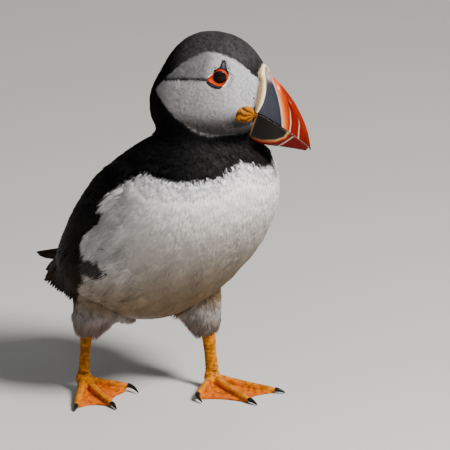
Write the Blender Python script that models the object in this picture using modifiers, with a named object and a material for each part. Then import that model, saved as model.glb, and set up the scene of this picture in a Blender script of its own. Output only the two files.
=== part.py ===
"""Atlantic puffin in breeding dress, standing in mid-stride with its head turned to its left.

A still, life-size model, in metres, +Z up. The bird's body faces -Y and its left side is +X, and it
stands on z = 0 with the origin under the middle of its box. Lengths in the tables are millimetres.
The trunk and neck are a stack of level slices, the head is a row of upright slices along the way it
looks, and the two are fused, smoothed and parted again with thin cuts. The other pieces are fitted
to them with a gap.
"""

import math

import bmesh
import bpy
import numpy as np
from mathutils import Matrix, Vector

MM = 0.001
GAP = 0.35  # between neighbouring pieces
FUSE_VOXEL = 1.6
FUSE_SMOOTHING = 8
BODY_FACES = 2300

# Trunk and neck: height, front, back, half width. The breast is the fullest at 118 to 124 mm.
BODY_SLICES = (
    (40.0, 6.0, 18.0, 6.0),
    (42.0, -1.0, 27.0, 16.0),
    (46.0, -9.0, 39.0, 26.0),
    (52.0, -18.0, 51.0, 35.0),
    (60.0, -28.0, 58.0, 41.5),
    (72.0, -40.0, 56.5, 47.0),
    (85.0, -51.0, 50.0, 49.5),
    (100.0, -59.5, 42.0, 50.5),
    (112.0, -63.5, 33.5, 49.5),
    (124.0, -64.0, 25.0, 47.0),
    (132.0, -62.5, 17.5, 43.0),
    (138.5, -59.0, 9.5, 38.0),
    (144.0, -54.5, 1.5, 31.5),
    (149.0, -50.0, -5.0, 26.0),
    (156.0, -47.0, -8.0, 23.0),
    (170.0, -45.0, -10.0, 21.0),
)
BODY_SQUARENESS = 2.15
# The thin cuts between head, neck and trunk: their heights, their middle and how far they lean forward.
HEAD_CUT, NECK_CUT = 151.0, 134.0
CUT_MIDDLE = -33.0
CUT_LEAN = math.radians(-14)
FAR = 200.0  # beyond every piece

# The head's own axes: forward along the bill's plane, left, up, from HEAD_CENTRE.
HEAD_CENTRE = Vector((0.0, -32.0, 175.6))
HEAD_TURN = math.radians(35.0)
# Forward, crown, throat, half width.
HEAD_SLICES = (
    (-29.8, -5.0, -15.0, 5.0),
    (-27.8, 0.5, -20.0, 11.0),
    (-24.6, 6.5, -25.0, 15.5),
    (-19.0, 16.8, -30.0, 19.0),
    (-12.0, 24.3, -33.0, 21.0),
    (-4.0, 28.3, -34.0, 22.0),
    (5.0, 29.2, -34.0, 22.0),
    (13.0, 27.9, -32.0, 20.3),
    (20.0, 24.7, -30.0, 17.0),
    (26.0, 19.8, -28.0, 12.5),
    (31.0, 12.8, -25.0, 8.8),
    (34.0, 8.0, -22.0, 6.5),
)
HEAD_SQUARENESS = 2.15

# Bill in the head's forward and up directions, root to tip.
CULMEN = ((31.2, 12.2), (34.9, 7.2), (41.0, 1.4), (47.8, -7.6), (52.6, -17.3), (54.9, -24.5), (56.2, -32.8))
GAPE = ((28.2, -11.4), (31.4, -12.6), (36.4, -15.6), (41.0, -18.8), (45.6, -22.4), (49.8, -25.9), (54.9, -30.6))
GONYS = ((23.4, -26.4), (28.0, -29.8), (33.4, -30.8), (39.6, -31.2), (44.5, -31.6), (49.0, -32.1), (53.4, -32.7))
GAPE_HALF_WIDTHS = (8.2, 7.6, 6.6, 5.4, 4.1, 2.9, 1.1)
RIDGE_HALF_WIDTHS = (3.6, 3.2, 2.8, 2.4, 2.0, 1.6, 0.7)
GONYS_HALF_WIDTHS = (4.6, 3.6, 2.9, 2.4, 2.0, 1.5, 0.6)
BILL_SEAT = ((31.6, 13.5), (28.0, -12.5), (22.0, -28.5))
BILL_STEPS = 11
BILL_SHARES = (0.0, 0.25, 0.5, 0.72, 0.88, 0.97)  # of the way from the gape to the outer edge
EDGE_NARROWS = 0.62
BEYOND_BILL = 90.0
LOWER_GAPE_DROP = (0.1, 0.35)

EYE_FORWARD, EYE_UP = 11.0, 10.4
EYE_RADIUS = 5.2
EYE_STANDS_OUT = 1.0
ROSETTE_FORWARD, ROSETTE_UP = 23.4, -10.6
ROSETTE_RADII = (5.4, 2.4, 4.5)
ROSETTE_TURN = math.radians(28)  # about the upright, to lie along the narrowing face

# Wing slices hug the trunk: height, first and last angle from the front in degrees, thickness, and
# how far the slice hangs out behind the trunk.
WING_SLICES = (
    (137.0, 100.0, 132.0, 2.4, 0.0),
    (129.0, 94.0, 144.0, 4.2, 0.0),
    (118.0, 94.0, 152.0, 5.0, 0.0),
    (105.0, 100.0, 157.0, 5.0, 0.3),
    (93.0, 108.0, 160.0, 4.6, 1.4),
    (82.0, 115.0, 161.0, 4.0, 3.2),
    (71.0, 123.0, 161.0, 3.2, 7.0),
    (62.0, 130.0, 160.0, 2.4, 14.0),
    (55.0, 138.0, 158.0, 1.8, 25.0),
    (50.0, 143.0, 157.0, 1.2, 29.0),
    (46.5, 147.0, 154.0, 0.9, 22.0),
)

# Tail: distance behind the trunk's middle, height, half width, half thickness.
TAIL_SLICES = (
    (48.0, 68.0, 11.0, 4.5),
    (58.0, 66.2, 12.0, 3.2),
    (70.0, 63.5, 11.5, 1.9),
    (80.0, 60.6, 9.5, 1.2),
    (88.0, 58.4, 6.5, 0.9),
    (93.5, 56.9, 3.2, 0.6),
)
TAIL_ARCH = 2.0

# Legs: ankle, heel and thigh root, and which way each toe points, in degrees towards the bird's right.
LEGS = {
    "right": {
        "side": -1,
        "ankle": (-28.9, 32.3),
        "heel": (-24.2, 35.3),
        "root": (-21.5, 24.5),
        "shank_turn": 17.0,
        "toes": {"outer": 49.0, "middle": 17.0, "inner": -42.0},
    },
    "left": {
        "side": 1,
        "ankle": (23.8, -10.8),
        "heel": (24.0, -7.6),
        "root": (21.5, 3.0),
        "shank_turn": -14.0,
        "toes": {"outer": -31.0, "middle": 8.0, "inner": 62.0},
    },
}
HEEL_HEIGHT = 31.0
ANKLE_HEIGHT = 9.5
SHANK_DEEP = ((0.0, 4.0), (0.15, 3.7), (0.45, 3.5), (0.8, 3.9), (1.0, 4.5))
SHANK_FLATNESS = 0.72
# Thigh: share of the way from the heel to the root, radius.
THIGH_RADII = ((0.0, 5.0), (0.12, 7.6), (0.35, 11.0), (0.65, 13.5), (1.0, 15.0))
THIGH_ROOT_HEIGHT = 62.0

# Toes: length without claw, claw length, how far the tip is lifted.
TOES = {"outer": (35.0, 6.5, 0.0), "middle": (34.5, 8.0, 0.0), "inner": (23.5, 7.5, 1.4)}
TOE_BASE_HEIGHT = 6.2
TOE_TIP_HEIGHT = 1.9
TOE_RADII = ((0.0, 2.9), (0.3, 2.4), (0.7, 2.1), (0.93, 1.9), (1.0, 1.3))
WEB_THICKNESS = 1.1
WEB_SCALLOP = 0.14
WEB_ROOT = 0.12  # share of the toes' length where a web starts
WEB_SAG = (1.2, 0.6)  # below the toes' middle lines: beside a toe, and how much more half way between two
CLAW_RADII = (1.5, 0.3)
CLAW_HEIGHT, CLAW_DROP = 2.2, 1.75
CLAW_ASIDE = {"inner": 0.75, "middle": 0.08, "outer": 0.08}

COLOURS = {
    "black_plumage": ((0.018, 0.018, 0.02), 0.75),
    "white_plumage": ((0.80, 0.79, 0.77), 0.85),
    "bill_plates": ((0.75, 0.10, 0.02), 0.35),
    "rosette_skin": ((0.85, 0.42, 0.02), 0.5),
    "eye_dark": ((0.01, 0.01, 0.012), 0.05),
    "leg_skin": ((0.85, 0.30, 0.01), 0.5),
    "claw_horn": ((0.015, 0.016, 0.02), 0.3),
}


def clear_scene():
    for old in list(bpy.data.objects):
        bpy.data.objects.remove(old, do_unlink=True)


def new_collection(name):
    made = bpy.data.collections.new(name)
    bpy.context.scene.collection.children.link(made)
    return made


def material(name):
    """One Principled BSDF material for each kind of surface."""
    found = bpy.data.materials.get(name)
    if found:
        return found
    colour, roughness = COLOURS[name]
    made = bpy.data.materials.new(name)
    made.use_nodes = True
    shader = made.node_tree.nodes["Principled BSDF"]
    shader.inputs["Base Color"].default_value = (*colour, 1.0)
    shader.inputs["Roughness"].default_value = roughness
    shader.inputs["Metallic"].default_value = 0.0
    return made


def smooth_rows(rows, count):
    """The rows of a table joined by a smooth curve and read at count even steps."""
    rows = np.array(rows, float)
    padded = np.vstack([2 * rows[0] - rows[1], rows, 2 * rows[-1] - rows[-2]])
    out = []
    for place in np.linspace(0, len(rows) - 1, count):
        i = min(int(place), len(rows) - 2)
        t = place - i
        a, b, c, d = padded[i : i + 4]
        straight = 2 * b + (c - a) * t
        curved = (2 * a - 5 * b + 4 * c - d) * t**2 + (3 * b - a - 3 * c + d) * t**3
        out.append(0.5 * (straight + curved))
    return np.array(out)


def oval(segments, squareness):
    """Points round a unit superellipse, as two arrays."""
    angle = np.arange(segments) * 2 * math.pi / segments
    power = 2 / squareness
    cos, sin = np.cos(angle), np.sin(angle)
    return np.sign(cos) * np.abs(cos) ** power, np.sign(sin) * np.abs(sin) ** power


def loft(name, rings, collection, skin=None):
    """A closed mesh through rings of equally many points, given in millimetres, with a fan at each end."""
    mesh = bmesh.new()
    loops = [[mesh.verts.new(Vector(p) * MM) for p in ring] for ring in rings]
    for low, high in zip(loops, loops[1:]):
        for i in range(len(low)):
            j = (i + 1) % len(low)
            mesh.faces.new((low[i], low[j], high[j], high[i]))
    for loop in (loops[0], loops[-1]):
        middle = mesh.verts.new(sum((v.co for v in loop), Vector()) / len(loop))
        for i in range(len(loop)):
            mesh.faces.new((loop[i], loop[(i + 1) % len(loop)], middle))
    bmesh.ops.recalc_face_normals(mesh, faces=mesh.faces)
    return finish_mesh(name, mesh, collection, skin)


def finish_mesh(name, mesh, collection, skin=None):
    data = bpy.data.meshes.new(name)
    mesh.to_mesh(data)
    mesh.free()
    data.shade_smooth()
    made = bpy.data.objects.new(name, data)
    collection.objects.link(made)
    if skin:
        data.materials.append(material(skin))
    if collection is cutters:
        made.hide_render = True
        made.display_type = "WIRE"
    return made


def evaluated_copy(source, name, collection, skin=None):
    """A new object that holds the source's mesh with its modifiers applied."""
    bpy.context.view_layer.update()
    graph = bpy.context.evaluated_depsgraph_get()
    data = bpy.data.meshes.new_from_object(source.evaluated_get(graph))
    data.transform(source.matrix_world)
    data.materials.clear()
    mesh = bmesh.new()
    mesh.from_mesh(data)
    bpy.data.meshes.remove(data)
    return finish_mesh(name, mesh, collection, skin)


def boolean(target, cutter, operation, solver="EXACT"):
    step = target.modifiers.new(operation.lower(), "BOOLEAN")
    step.operation = operation
    step.object = cutter
    step.solver = solver


def grown(source, name, by):
    """A cutter: the source with its surface moved out by a distance in millimetres."""
    made = evaluated_copy(source, name, cutters)
    swell = made.modifiers.new("swell", "DISPLACE")
    swell.direction = "NORMAL"
    swell.mid_level = 0.0
    swell.strength = by * MM
    return made


def block(name, low, high, matrix=None):
    """A cutter: a box between two corners in millimetres, in a frame of its own."""
    mesh = bmesh.new()
    bmesh.ops.create_cube(mesh, size=1.0)
    low, high = Vector(low), Vector(high)
    for v in mesh.verts:
        v.co = Vector(((v.co[i] + 0.5) * (high[i] - low[i]) + low[i]) * MM for i in range(3))
    if matrix:
        mesh.transform(matrix)
    return finish_mesh(name, mesh, cutters)


def head_frame():
    """The head's axes as a matrix in metres: X forward, Y left, Z up."""
    turn = Matrix.Rotation(HEAD_TURN - math.pi / 2, 4, "Z")
    return Matrix.Translation(HEAD_CENTRE * MM) @ turn


def to_head(points):
    frame = head_frame()
    return [frame @ (Vector(p) * MM) / MM for p in points]


def body_half_width(forward):
    """Half the head's width at a place along it, from the table."""
    rows = np.array(HEAD_SLICES)
    return float(np.interp(forward, rows[:, 0], rows[:, 3]))


def head_side(forward, up):
    """How far out from the head's middle plane its side lies."""
    rows = np.array(HEAD_SLICES)
    crown = np.interp(forward, rows[:, 0], rows[:, 1])
    throat = np.interp(forward, rows[:, 0], rows[:, 2])
    share = abs(up - (crown + throat) / 2) / ((crown - throat) / 2)
    return body_half_width(forward) * (1 - share**HEAD_SQUARENESS) ** (1 / HEAD_SQUARENESS)


def make_column():
    """Trunk and neck as one closed form."""
    across, along = oval(36, BODY_SQUARENESS)
    rings = []
    for z, front, back, half in smooth_rows(BODY_SLICES, 34):
        rings.append([(half * a, (front + back) / 2 + (back - front) / 2 * b, z) for a, b in zip(across, along)])
    return loft("column", rings, cutters)


def make_head_form():
    across, upright = oval(36, HEAD_SQUARENESS)
    rings = []
    for x, crown, throat, half in smooth_rows(HEAD_SLICES, 26):
        middle, reach = (crown + throat) / 2, (crown - throat) / 2
        rings.append(to_head((x, half * a, middle + reach * b) for a, b in zip(across, upright)))
    return loft("head_form", rings, cutters)


def fuse(column, head_form):
    """Trunk, neck and head as one smooth skin with few enough faces."""
    mesh = bmesh.new()
    mesh.from_mesh(column.data)
    mesh.from_mesh(head_form.data)
    whole = finish_mesh("whole_body", mesh, cutters)
    fusing = whole.modifiers.new("fuse", "REMESH")
    fusing.mode = "VOXEL"
    fusing.voxel_size = FUSE_VOXEL * MM
    soften = whole.modifiers.new("soften", "SMOOTH")
    soften.factor = 0.5
    soften.iterations = FUSE_SMOOTHING
    dense = evaluated_copy(whole, "body_dense", cutters)
    thin = dense.modifiers.new("thin", "DECIMATE")
    thin.ratio = BODY_FACES / (2 * len(dense.data.polygons))
    return evaluated_copy(dense, "body_whole", cutters)


def half_spaces(name, height):
    """Two cutters that share a leaning plane but for the gap: what lies above it and what lies below."""
    plane = Matrix.Translation(Vector((0, CUT_MIDDLE, height)) * MM) @ Matrix.Rotation(CUT_LEAN, 4, "X")
    above = block("above_" + name, (-FAR, -FAR, GAP), (FAR, FAR, FAR), plane)
    below = block("below_" + name, (-FAR, -FAR, -FAR), (FAR, FAR, 0), plane)
    return above, below


def cut_body(whole):
    """Head, neck and trunk, parted where a person would part them."""
    above_head_cut, below_head_cut = half_spaces("head_cut", HEAD_CUT)
    above_neck_cut, below_neck_cut = half_spaces("neck_cut", NECK_CUT)
    parts = {}
    for name, skin, keeps in (
        ("head", "black_plumage", (above_head_cut,)),
        ("neck", "black_plumage", (below_head_cut, above_neck_cut)),
        ("trunk", "white_plumage", (below_neck_cut,)),
    ):
        parts[name] = evaluated_copy(whole, name, puffin, skin)
        for keep in keeps:
            boolean(parts[name], keep, "INTERSECT")
    return parts


def bill_half(name, outer, gape, outer_half, gape_half, skin):
    """One half of the bill: upright rings from the gape to its outer edge, root to tip."""
    rings, shares = [], np.array(BILL_SHARES)
    outer, gape = smooth_rows(outer, BILL_STEPS), smooth_rows(gape, BILL_STEPS)
    outer_half, gape_half = (smooth_rows([[v] for v in row], BILL_STEPS)[:, 0] for row in (outer_half, gape_half))
    for edge, mouth, narrow, wide in zip(outer, gape, outer_half, gape_half):
        half = wide + (narrow - wide) * shares**0.9
        half[-1] *= EDGE_NARROWS
        points = [mouth + (edge - mouth) * s for s in shares]
        right = [(p[0], -h, p[1]) for p, h in zip(points, half)]
        left = [(p[0], h, p[1]) for p, h in zip(points, half)]
        rings.append(to_head([*right, (edge[0], 0.0, edge[1]), *left[::-1]]))
    return loft(name, rings, puffin, skin)


def make_bill(parts):
    """The two bill halves, and the room cut for them in the face, throat and breast."""
    lower_gape = np.array(GAPE) - LOWER_GAPE_DROP
    bill_half("bill_upper", CULMEN, GAPE, RIDGE_HALF_WIDTHS, GAPE_HALF_WIDTHS, "bill_plates")
    lower = bill_half("bill_lower", GONYS, lower_gape, GONYS_HALF_WIDTHS, GAPE_HALF_WIDTHS, "bill_plates")
    seat = [(x - GAP, z) for x, z in BILL_SEAT]
    profile = [*seat, (BEYOND_BILL, seat[-1][1] - 6), (BEYOND_BILL, 60.0), (seat[0][0] + 6, 30.0)]
    rings = [to_head((x, side, z) for x, z in profile) for side in (-40.0, 40.0)]
    boolean(parts["head"], loft("bill_seat", rings, cutters), "DIFFERENCE")
    for part in parts.values():
        boolean(part, grown(lower, "room_for_bill", GAP), "DIFFERENCE", "MANIFOLD")


def make_eyes(head):
    for side, name in ((1, "left"), (-1, "right")):
        out = head_side(EYE_FORWARD, EYE_UP) + EYE_STANDS_OUT - EYE_RADIUS
        centre = to_head([(EYE_FORWARD, side * out, EYE_UP)])[0]
        for radius, label, group in ((EYE_RADIUS, "eye_", puffin), (EYE_RADIUS + GAP, "eye_socket_", cutters)):
            mesh = bmesh.new()
            bmesh.ops.create_icosphere(mesh, subdivisions=2, radius=radius * MM)
            bmesh.ops.translate(mesh, verts=mesh.verts, vec=centre * MM)
            made = finish_mesh(label + name, mesh, group, "eye_dark" if group is puffin else None)
        boolean(head, made, "DIFFERENCE")


def make_rosettes(face):
    """The fleshy yellow disc at each corner of the mouth."""
    for side, name in ((1, "left"), (-1, "right")):
        out = head_side(ROSETTE_FORWARD, ROSETTE_UP)
        mesh = bmesh.new()
        bmesh.ops.create_uvsphere(mesh, u_segments=14, v_segments=8, radius=1.0)
        bmesh.ops.scale(mesh, verts=mesh.verts, vec=Vector(ROSETTE_RADII) * MM)
        bmesh.ops.rotate(mesh, verts=mesh.verts, matrix=Matrix.Rotation(-side * ROSETTE_TURN, 3, "Z"))
        bmesh.ops.translate(mesh, verts=mesh.verts, vec=Vector((ROSETTE_FORWARD, side * out, ROSETTE_UP)) * MM)
        mesh.transform(head_frame())
        made = finish_mesh("rosette_" + name, mesh, puffin, "rosette_skin")
        boolean(made, face, "DIFFERENCE", "MANIFOLD")


def slice_at(height):
    """Middle, half depth and half width of the trunk at a height."""
    rows = np.array(BODY_SLICES)
    front, back, half = (np.interp(height, rows[:, 0], rows[:, i]) for i in (1, 2, 3))
    return (front + back) / 2, (back - front) / 2, half


def make_wing(side, name, rooms):
    """A folded wing: crescents that hug the trunk and run out behind it as a blade."""
    rings = []
    for z, first, last, thick, overhang in smooth_rows(WING_SLICES, 18):
        middle, deep, half = slice_at(z)
        share = np.linspace(0, 1, 11)
        angle = np.radians(first + (last - first) * share)
        swell = thick * np.maximum(np.sin(math.pi * share), 0.0) ** 0.35
        reach_back = overhang * share**1.5
        outer, inner = [], []
        for a, t, r in zip(angle, swell, reach_back):
            x, y = math.sin(a), -math.cos(a)
            base = Vector((side * half * x, middle + deep * y + r, z))
            out = Vector((side * x / half, y / deep, 0)).normalized()
            outer.append(base + out * max(t, 0.5))
            inner.append(base - out * (0.6 if r > 3 else 3.0))
        rings.append([*outer, *inner[::-1]])
    wing = loft("wing_" + name, rings, puffin, "black_plumage")
    for room in rooms:
        boolean(wing, room, "DIFFERENCE", "MANIFOLD")
    return grown(wing, "room_for_wing_" + name, GAP)


def make_tail(trunk_cutter):
    across, upright = oval(20, 2.6)
    rings = []
    for y, z, half, thick in smooth_rows(TAIL_SLICES, 12):
        rings.append([(half * a, y, z + thick * b - TAIL_ARCH * a * a) for a, b in zip(across, upright)])
    tail = loft("tail", rings, puffin, "black_plumage")
    boolean(tail, trunk_cutter, "DIFFERENCE", "MANIFOLD")
    return grown(tail, "room_for_tail", GAP)


def tube_rings(path, radii, segments=12, flat=1.0, turn=0.0):
    """Rings square to a path; flat narrows them across the direction of turn."""
    path = [Vector(p) for p in path]
    rings = []
    for i, (point, radius) in enumerate(zip(path, radii)):
        ahead = (path[min(i + 1, len(path) - 1)] - path[max(i - 1, 0)]).normalized()
        level = Vector((math.cos(turn), math.sin(turn), 0))
        level = (level - ahead * level.dot(ahead)).normalized()
        other = ahead.cross(level)
        ring = []
        for k in range(segments):
            a = 2 * math.pi * k / segments
            ring.append(point + level * (radius * flat * math.cos(a)) + other * (radius * math.sin(a)))
        rings.append(ring)
    return rings


def toe_direction(leg, toe):
    """Unit vector of a toe on the floor."""
    angle = math.radians(leg["toes"][toe])
    return Vector((-math.sin(angle), -math.cos(angle), 0))


def toe_path(leg, toe, share_of_length=1.0, steps=8):
    """A toe's middle line from the ankle down to the floor."""
    start = Vector((*leg["ankle"], TOE_BASE_HEIGHT))
    ahead = toe_direction(leg, toe)
    length, tip = TOES[toe][0] * share_of_length, TOE_TIP_HEIGHT + TOES[toe][2]
    points = []
    for share in np.linspace(0, 1, steps):
        height = tip + (TOE_BASE_HEIGHT - tip) * (1 - share) ** 1.4
        points.append(Vector((*(start + ahead * length * share).xy, height)))
    return points


def make_web(name, first, second):
    """The web between two toes: a wedge from the floor up, with a hollow front edge."""
    rings, steps = [], 7
    for share in np.linspace(0.02, 0.98, steps):
        reach = 1 - WEB_SCALLOP * math.sin(math.pi * share)
        line = [a.lerp(b, share) for a, b in zip(first, second)]
        cut = [line[0].lerp(line[-1], u) for u in np.linspace(WEB_ROOT, reach, steps)]
        sag = WEB_SAG[0] + WEB_SAG[1] * math.sin(math.pi * share)
        top = [Vector((*p.xy, max(WEB_THICKNESS, l.z - sag))) for p, l in zip(cut, line)]
        low = [Vector((*p.xy, -1.0)) for p in cut]
        rings.append([*top, *low[::-1]])
    return loft(name, rings, cutters)


def make_foot(label, leg, room_for_shank):
    """Ankle, three toes and two webs as one piece with a flat sole, and its claws."""
    ankle = Vector((*leg["ankle"], 0))
    knob = [ankle + Vector((0, 0, z)) for z in (3.0, 5.5, 8.0, ANKLE_HEIGHT)]
    foot = loft("foot_" + label, tube_rings(knob, (3.2, 4.4, 4.2, 3.7)), puffin, "leg_skin")
    for toe in TOES:
        path = toe_path(leg, toe)
        radii = np.interp(np.linspace(0, 1, len(path)), *np.array(TOE_RADII).T)
        form = loft(f"toe_{toe}_{label}", tube_rings(path, radii, 8), cutters)
        boolean(foot, form, "UNION", "MANIFOLD")
        make_claw(f"claw_{toe}_{label}", leg, toe)
    for first, second in (("outer", "middle"), ("middle", "inner")):
        a, b = (toe_path(leg, toe, 0.97) for toe in (first, second))
        boolean(foot, make_web(f"web_{first}_{label}", a, b), "UNION", "MANIFOLD")
    low, high = ankle - Vector((90, 90, 30)), ankle + Vector((90, 90, 0))
    boolean(foot, block("floor_" + label, low, high), "DIFFERENCE", "MANIFOLD")
    boolean(foot, room_for_shank, "DIFFERENCE", "MANIFOLD")


def make_claw(name, leg, toe):
    """A short horn cone, arched down to the floor; the inner one hooks sideways."""
    ahead = toe_direction(leg, toe)
    aside = Vector((-ahead.y, ahead.x, 0)) * leg["side"] * CLAW_ASIDE[toe]
    length, claw, lift = TOES[toe]
    start = Vector((*leg["ankle"], 0)) + ahead * (length + GAP)
    shares = np.linspace(0, 1, 6)
    path = []
    for s in shares:
        height = Vector((0, 0, CLAW_HEIGHT + lift - (CLAW_DROP + lift) * s**2))
        path.append(start + claw * (ahead * s + aside * s**2) + height)
    radii = CLAW_RADII[0] * (1 - shares) ** 0.7 + CLAW_RADII[1]
    loft(name, tube_rings(path, radii, 8), puffin, "claw_horn")


def make_leg(label, leg, rooms):
    """Feathered thigh, scaly shank and webbed foot."""
    heel, ankle = Vector((*leg["heel"], HEEL_HEIGHT)), Vector((*leg["ankle"], ANKLE_HEIGHT + 2 * GAP))
    root = Vector((*leg["root"], THIGH_ROOT_HEIGHT))
    across = -math.radians(leg["shank_turn"])
    shares = np.linspace(0, 1, 8)
    shank_path = [ankle.lerp(heel - Vector((0, 0, GAP)), s) for s in shares]
    shank_radii = np.interp(shares, *np.array(SHANK_DEEP).T)
    rings = tube_rings(shank_path, shank_radii, 14, SHANK_FLATNESS, across)
    shank = loft("shank_" + label, rings, puffin, "leg_skin")
    thigh_path = [heel.lerp(root, s) for s in shares]
    thigh_radii = np.interp(shares, *np.array(THIGH_RADII).T)
    thigh = loft("thigh_" + label, tube_rings(thigh_path, thigh_radii, 16), puffin, "white_plumage")
    room_for_shank = grown(shank, "room_for_shank_" + label, GAP)
    for room in (*rooms, room_for_shank):
        boolean(thigh, room, "DIFFERENCE", "MANIFOLD")
    make_foot(label, leg, room_for_shank)


def centre_on_origin(collection):
    """Moves every piece so that the origin lies under the middle of the bird, on the floor."""
    bpy.context.view_layer.update()
    graph = bpy.context.evaluated_depsgraph_get()
    corners = []
    for piece in collection.objects:
        evaluated = piece.evaluated_get(graph)
        corners += [evaluated.matrix_world @ Vector(c) for c in evaluated.bound_box]
    low = Vector(min(c[i] for c in corners) for i in range(3))
    high = Vector(max(c[i] for c in corners) for i in range(3))
    shift = Vector((-(low.x + high.x) / 2, -(low.y + high.y) / 2, -low.z))
    for piece in bpy.data.objects:
        piece.location += shift
    print("moved by", [round(v / MM, 2) for v in shift], "size", [round(v / MM, 1) for v in high - low])


def main():
    whole = fuse(make_column(), make_head_form())
    touching = grown(whole, "body_grown", GAP)
    parts = cut_body(whole)
    make_bill(parts)
    make_eyes(parts["head"])
    make_rosettes(touching)
    room_for_tail = make_tail(touching)
    for label, leg in LEGS.items():
        room_for_wing = make_wing(leg["side"], label, (touching, room_for_tail))
        make_leg(label, leg, (touching, room_for_wing))
    centre_on_origin(puffin)


clear_scene()
puffin = new_collection("puffin")
cutters = new_collection("cutters")
main()
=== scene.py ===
"""Finish of the Atlantic puffin: skin, plumage, bill, eyes, legs and a plain studio.

Lengths in the tables are millimetres in the bird's own frame: the body faces -Y, its left is +X, and the
frame's origin lies on the floor under the body. The head has axes of its own: forward, left and up.
"""

import math

import bpy
import numpy as np
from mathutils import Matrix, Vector
from mathutils.bvhtree import BVHTree


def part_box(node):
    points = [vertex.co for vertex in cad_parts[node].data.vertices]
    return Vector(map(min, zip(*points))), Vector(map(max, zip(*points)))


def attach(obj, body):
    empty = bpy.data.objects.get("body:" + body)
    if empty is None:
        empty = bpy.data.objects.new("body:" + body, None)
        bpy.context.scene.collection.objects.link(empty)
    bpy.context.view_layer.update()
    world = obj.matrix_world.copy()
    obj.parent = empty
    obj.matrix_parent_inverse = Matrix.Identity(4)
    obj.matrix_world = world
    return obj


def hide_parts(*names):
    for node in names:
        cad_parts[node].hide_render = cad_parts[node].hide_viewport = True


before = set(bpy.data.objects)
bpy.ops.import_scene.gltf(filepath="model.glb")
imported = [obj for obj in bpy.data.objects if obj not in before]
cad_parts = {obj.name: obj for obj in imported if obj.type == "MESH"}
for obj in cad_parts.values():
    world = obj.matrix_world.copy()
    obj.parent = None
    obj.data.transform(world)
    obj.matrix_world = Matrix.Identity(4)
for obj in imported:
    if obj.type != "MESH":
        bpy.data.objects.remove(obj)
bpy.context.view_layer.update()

MM = 0.001
SEED = 7
ROOT = "root"

# The head's place and turn in the bird's frame, and the eye's place on it.
HEAD_CENTRE = np.array((0.0, -32.0, 175.6))
HEAD_TURN = math.radians(35.0)
EYE_FORWARD, EYE_UP = 11.0, 10.4
EYE_PLACE = np.array((EYE_FORWARD, EYE_UP))
EYE_RADIUS = 4.7
EYE_SHIFT = 0.5  # the eyeball is smaller than its solid, and set this much further out, so its front stays
UP = np.array((0.0, 0.0, 1.0))
FORWARD = np.array((math.sin(HEAD_TURN), -math.cos(HEAD_TURN), 0.0))
LEFT = np.array((math.cos(HEAD_TURN), math.sin(HEAD_TURN), 0.0))

FLESH = ("head", "neck", "trunk", "tail", "wing_left", "wing_right", "thigh_left", "thigh_right")
THIGHS = ("thigh_left", "thigh_right")
CORE_FILLERS = ("eye_left", "eye_right", "rosette_left", "rosette_right", "bill_upper", "bill_lower")

SKIN_VOXEL = 1.1
SKIN_GROWTH = 0.35
SKIN_SMOOTHING = 6

NODE_WELD, PATCH_WELD = 2e-6, 1e-6  # metres within which doubles are merged: CAD copies, eye patches

# Colours are linear.
BLACK = np.array((0.0026, 0.0026, 0.0030))
CROWN_AND_SHEEN = np.array((0.026, 0.0245, 0.026))
WING_BLACK = np.array((0.0030, 0.0028, 0.0028))
WING_BROWN = np.array((0.024, 0.014, 0.006))
WHITE = np.array((0.80, 0.79, 0.785))
SHADE_UNDER_COLLAR = np.array((0.42, 0.41, 0.44))
# The belly's colour is painted shade: the white plumage darkened and warmed as if shaded and lit from
# below.
BELLY_SHADE = np.array((0.160, 0.115, 0.068))
FLANK = np.array((0.40, 0.39, 0.40))
CHEEK = np.array((0.27, 0.262, 0.27))
# Painted light: the pale face lit more strongly ahead of the eye.
LORES_PAINTED_LIGHT = np.array((0.33, 0.325, 0.34))
BROW = np.array((0.115, 0.111, 0.117))
# Mostly painted shade over the cheek's slightly darker real lower rear.
LOW_CHEEK_SHADE = np.array((0.034, 0.028, 0.025))
THIGH = np.array((0.235, 0.215, 0.207))
FRINGE = np.array((0.12, 0.088, 0.070))
COLLAR_FRONT_LIGHT = np.array((0.0085, 0.0074, 0.0072))
EYE_LINE = np.array((0.009, 0.0085, 0.009))


def bird_origin():
    """Where the bird's frame lies in the model, from the two eyes."""
    boxes = [np.array(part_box(name), float) for name in ("eye_left", "eye_right")]
    middle = sum(box.mean(axis=0) for box in boxes) / 2
    return middle - (HEAD_CENTRE + FORWARD * EYE_FORWARD + UP * EYE_UP) * MM


ORIGIN = bird_origin()


def to_model(points):
    """From millimetres in the bird's frame to metres in the model."""
    return np.asarray(points, float) * MM + ORIGIN


def to_bird(points):
    """From metres in the model to millimetres in the bird's frame."""
    return (np.asarray(points, float) - ORIGIN) / MM


def to_head(points):
    """Forward, left and up of points given in the bird's frame."""
    local = np.asarray(points, float) - HEAD_CENTRE
    return np.stack([local @ FORWARD, local @ LEFT, local @ UP], axis=-1)


def from_head(points):
    points = np.asarray(points, float)
    return HEAD_CENTRE + points[..., 0:1] * FORWARD + points[..., 1:2] * LEFT + points[..., 2:3] * UP


def ramp(value, start, end):
    """0 before start, 1 after end, smooth in between."""
    t = np.clip((value - start) / (end - start), 0.0, 1.0)
    return t * t * (3 - 2 * t)


def unit(vectors):
    return vectors / np.maximum(np.linalg.norm(vectors, axis=-1, keepdims=True), 1e-9)


def mix(first, second, share):
    return first + (second - first) * np.asarray(share)[..., None]


def bell(value, width):
    """1 where the value is 0, falling softly to nothing past the width."""
    return np.exp(-((value / width) ** 2))


def spot(x, wide, y, tall):
    """A soft oval, 1 at its middle."""
    return np.exp(-((x / wide) ** 2) - (y / tall) ** 2)


def read_curve(table, value):
    """A table's second column at values of its first."""
    return np.interp(value, *np.array(table).T)


# ---------------------------------------------------------------- mesh helpers


def deselect():
    bpy.ops.object.select_all(action="DESELECT")


def select_only(piece):
    deselect()
    piece.select_set(True)
    bpy.context.view_layer.objects.active = piece


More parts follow.
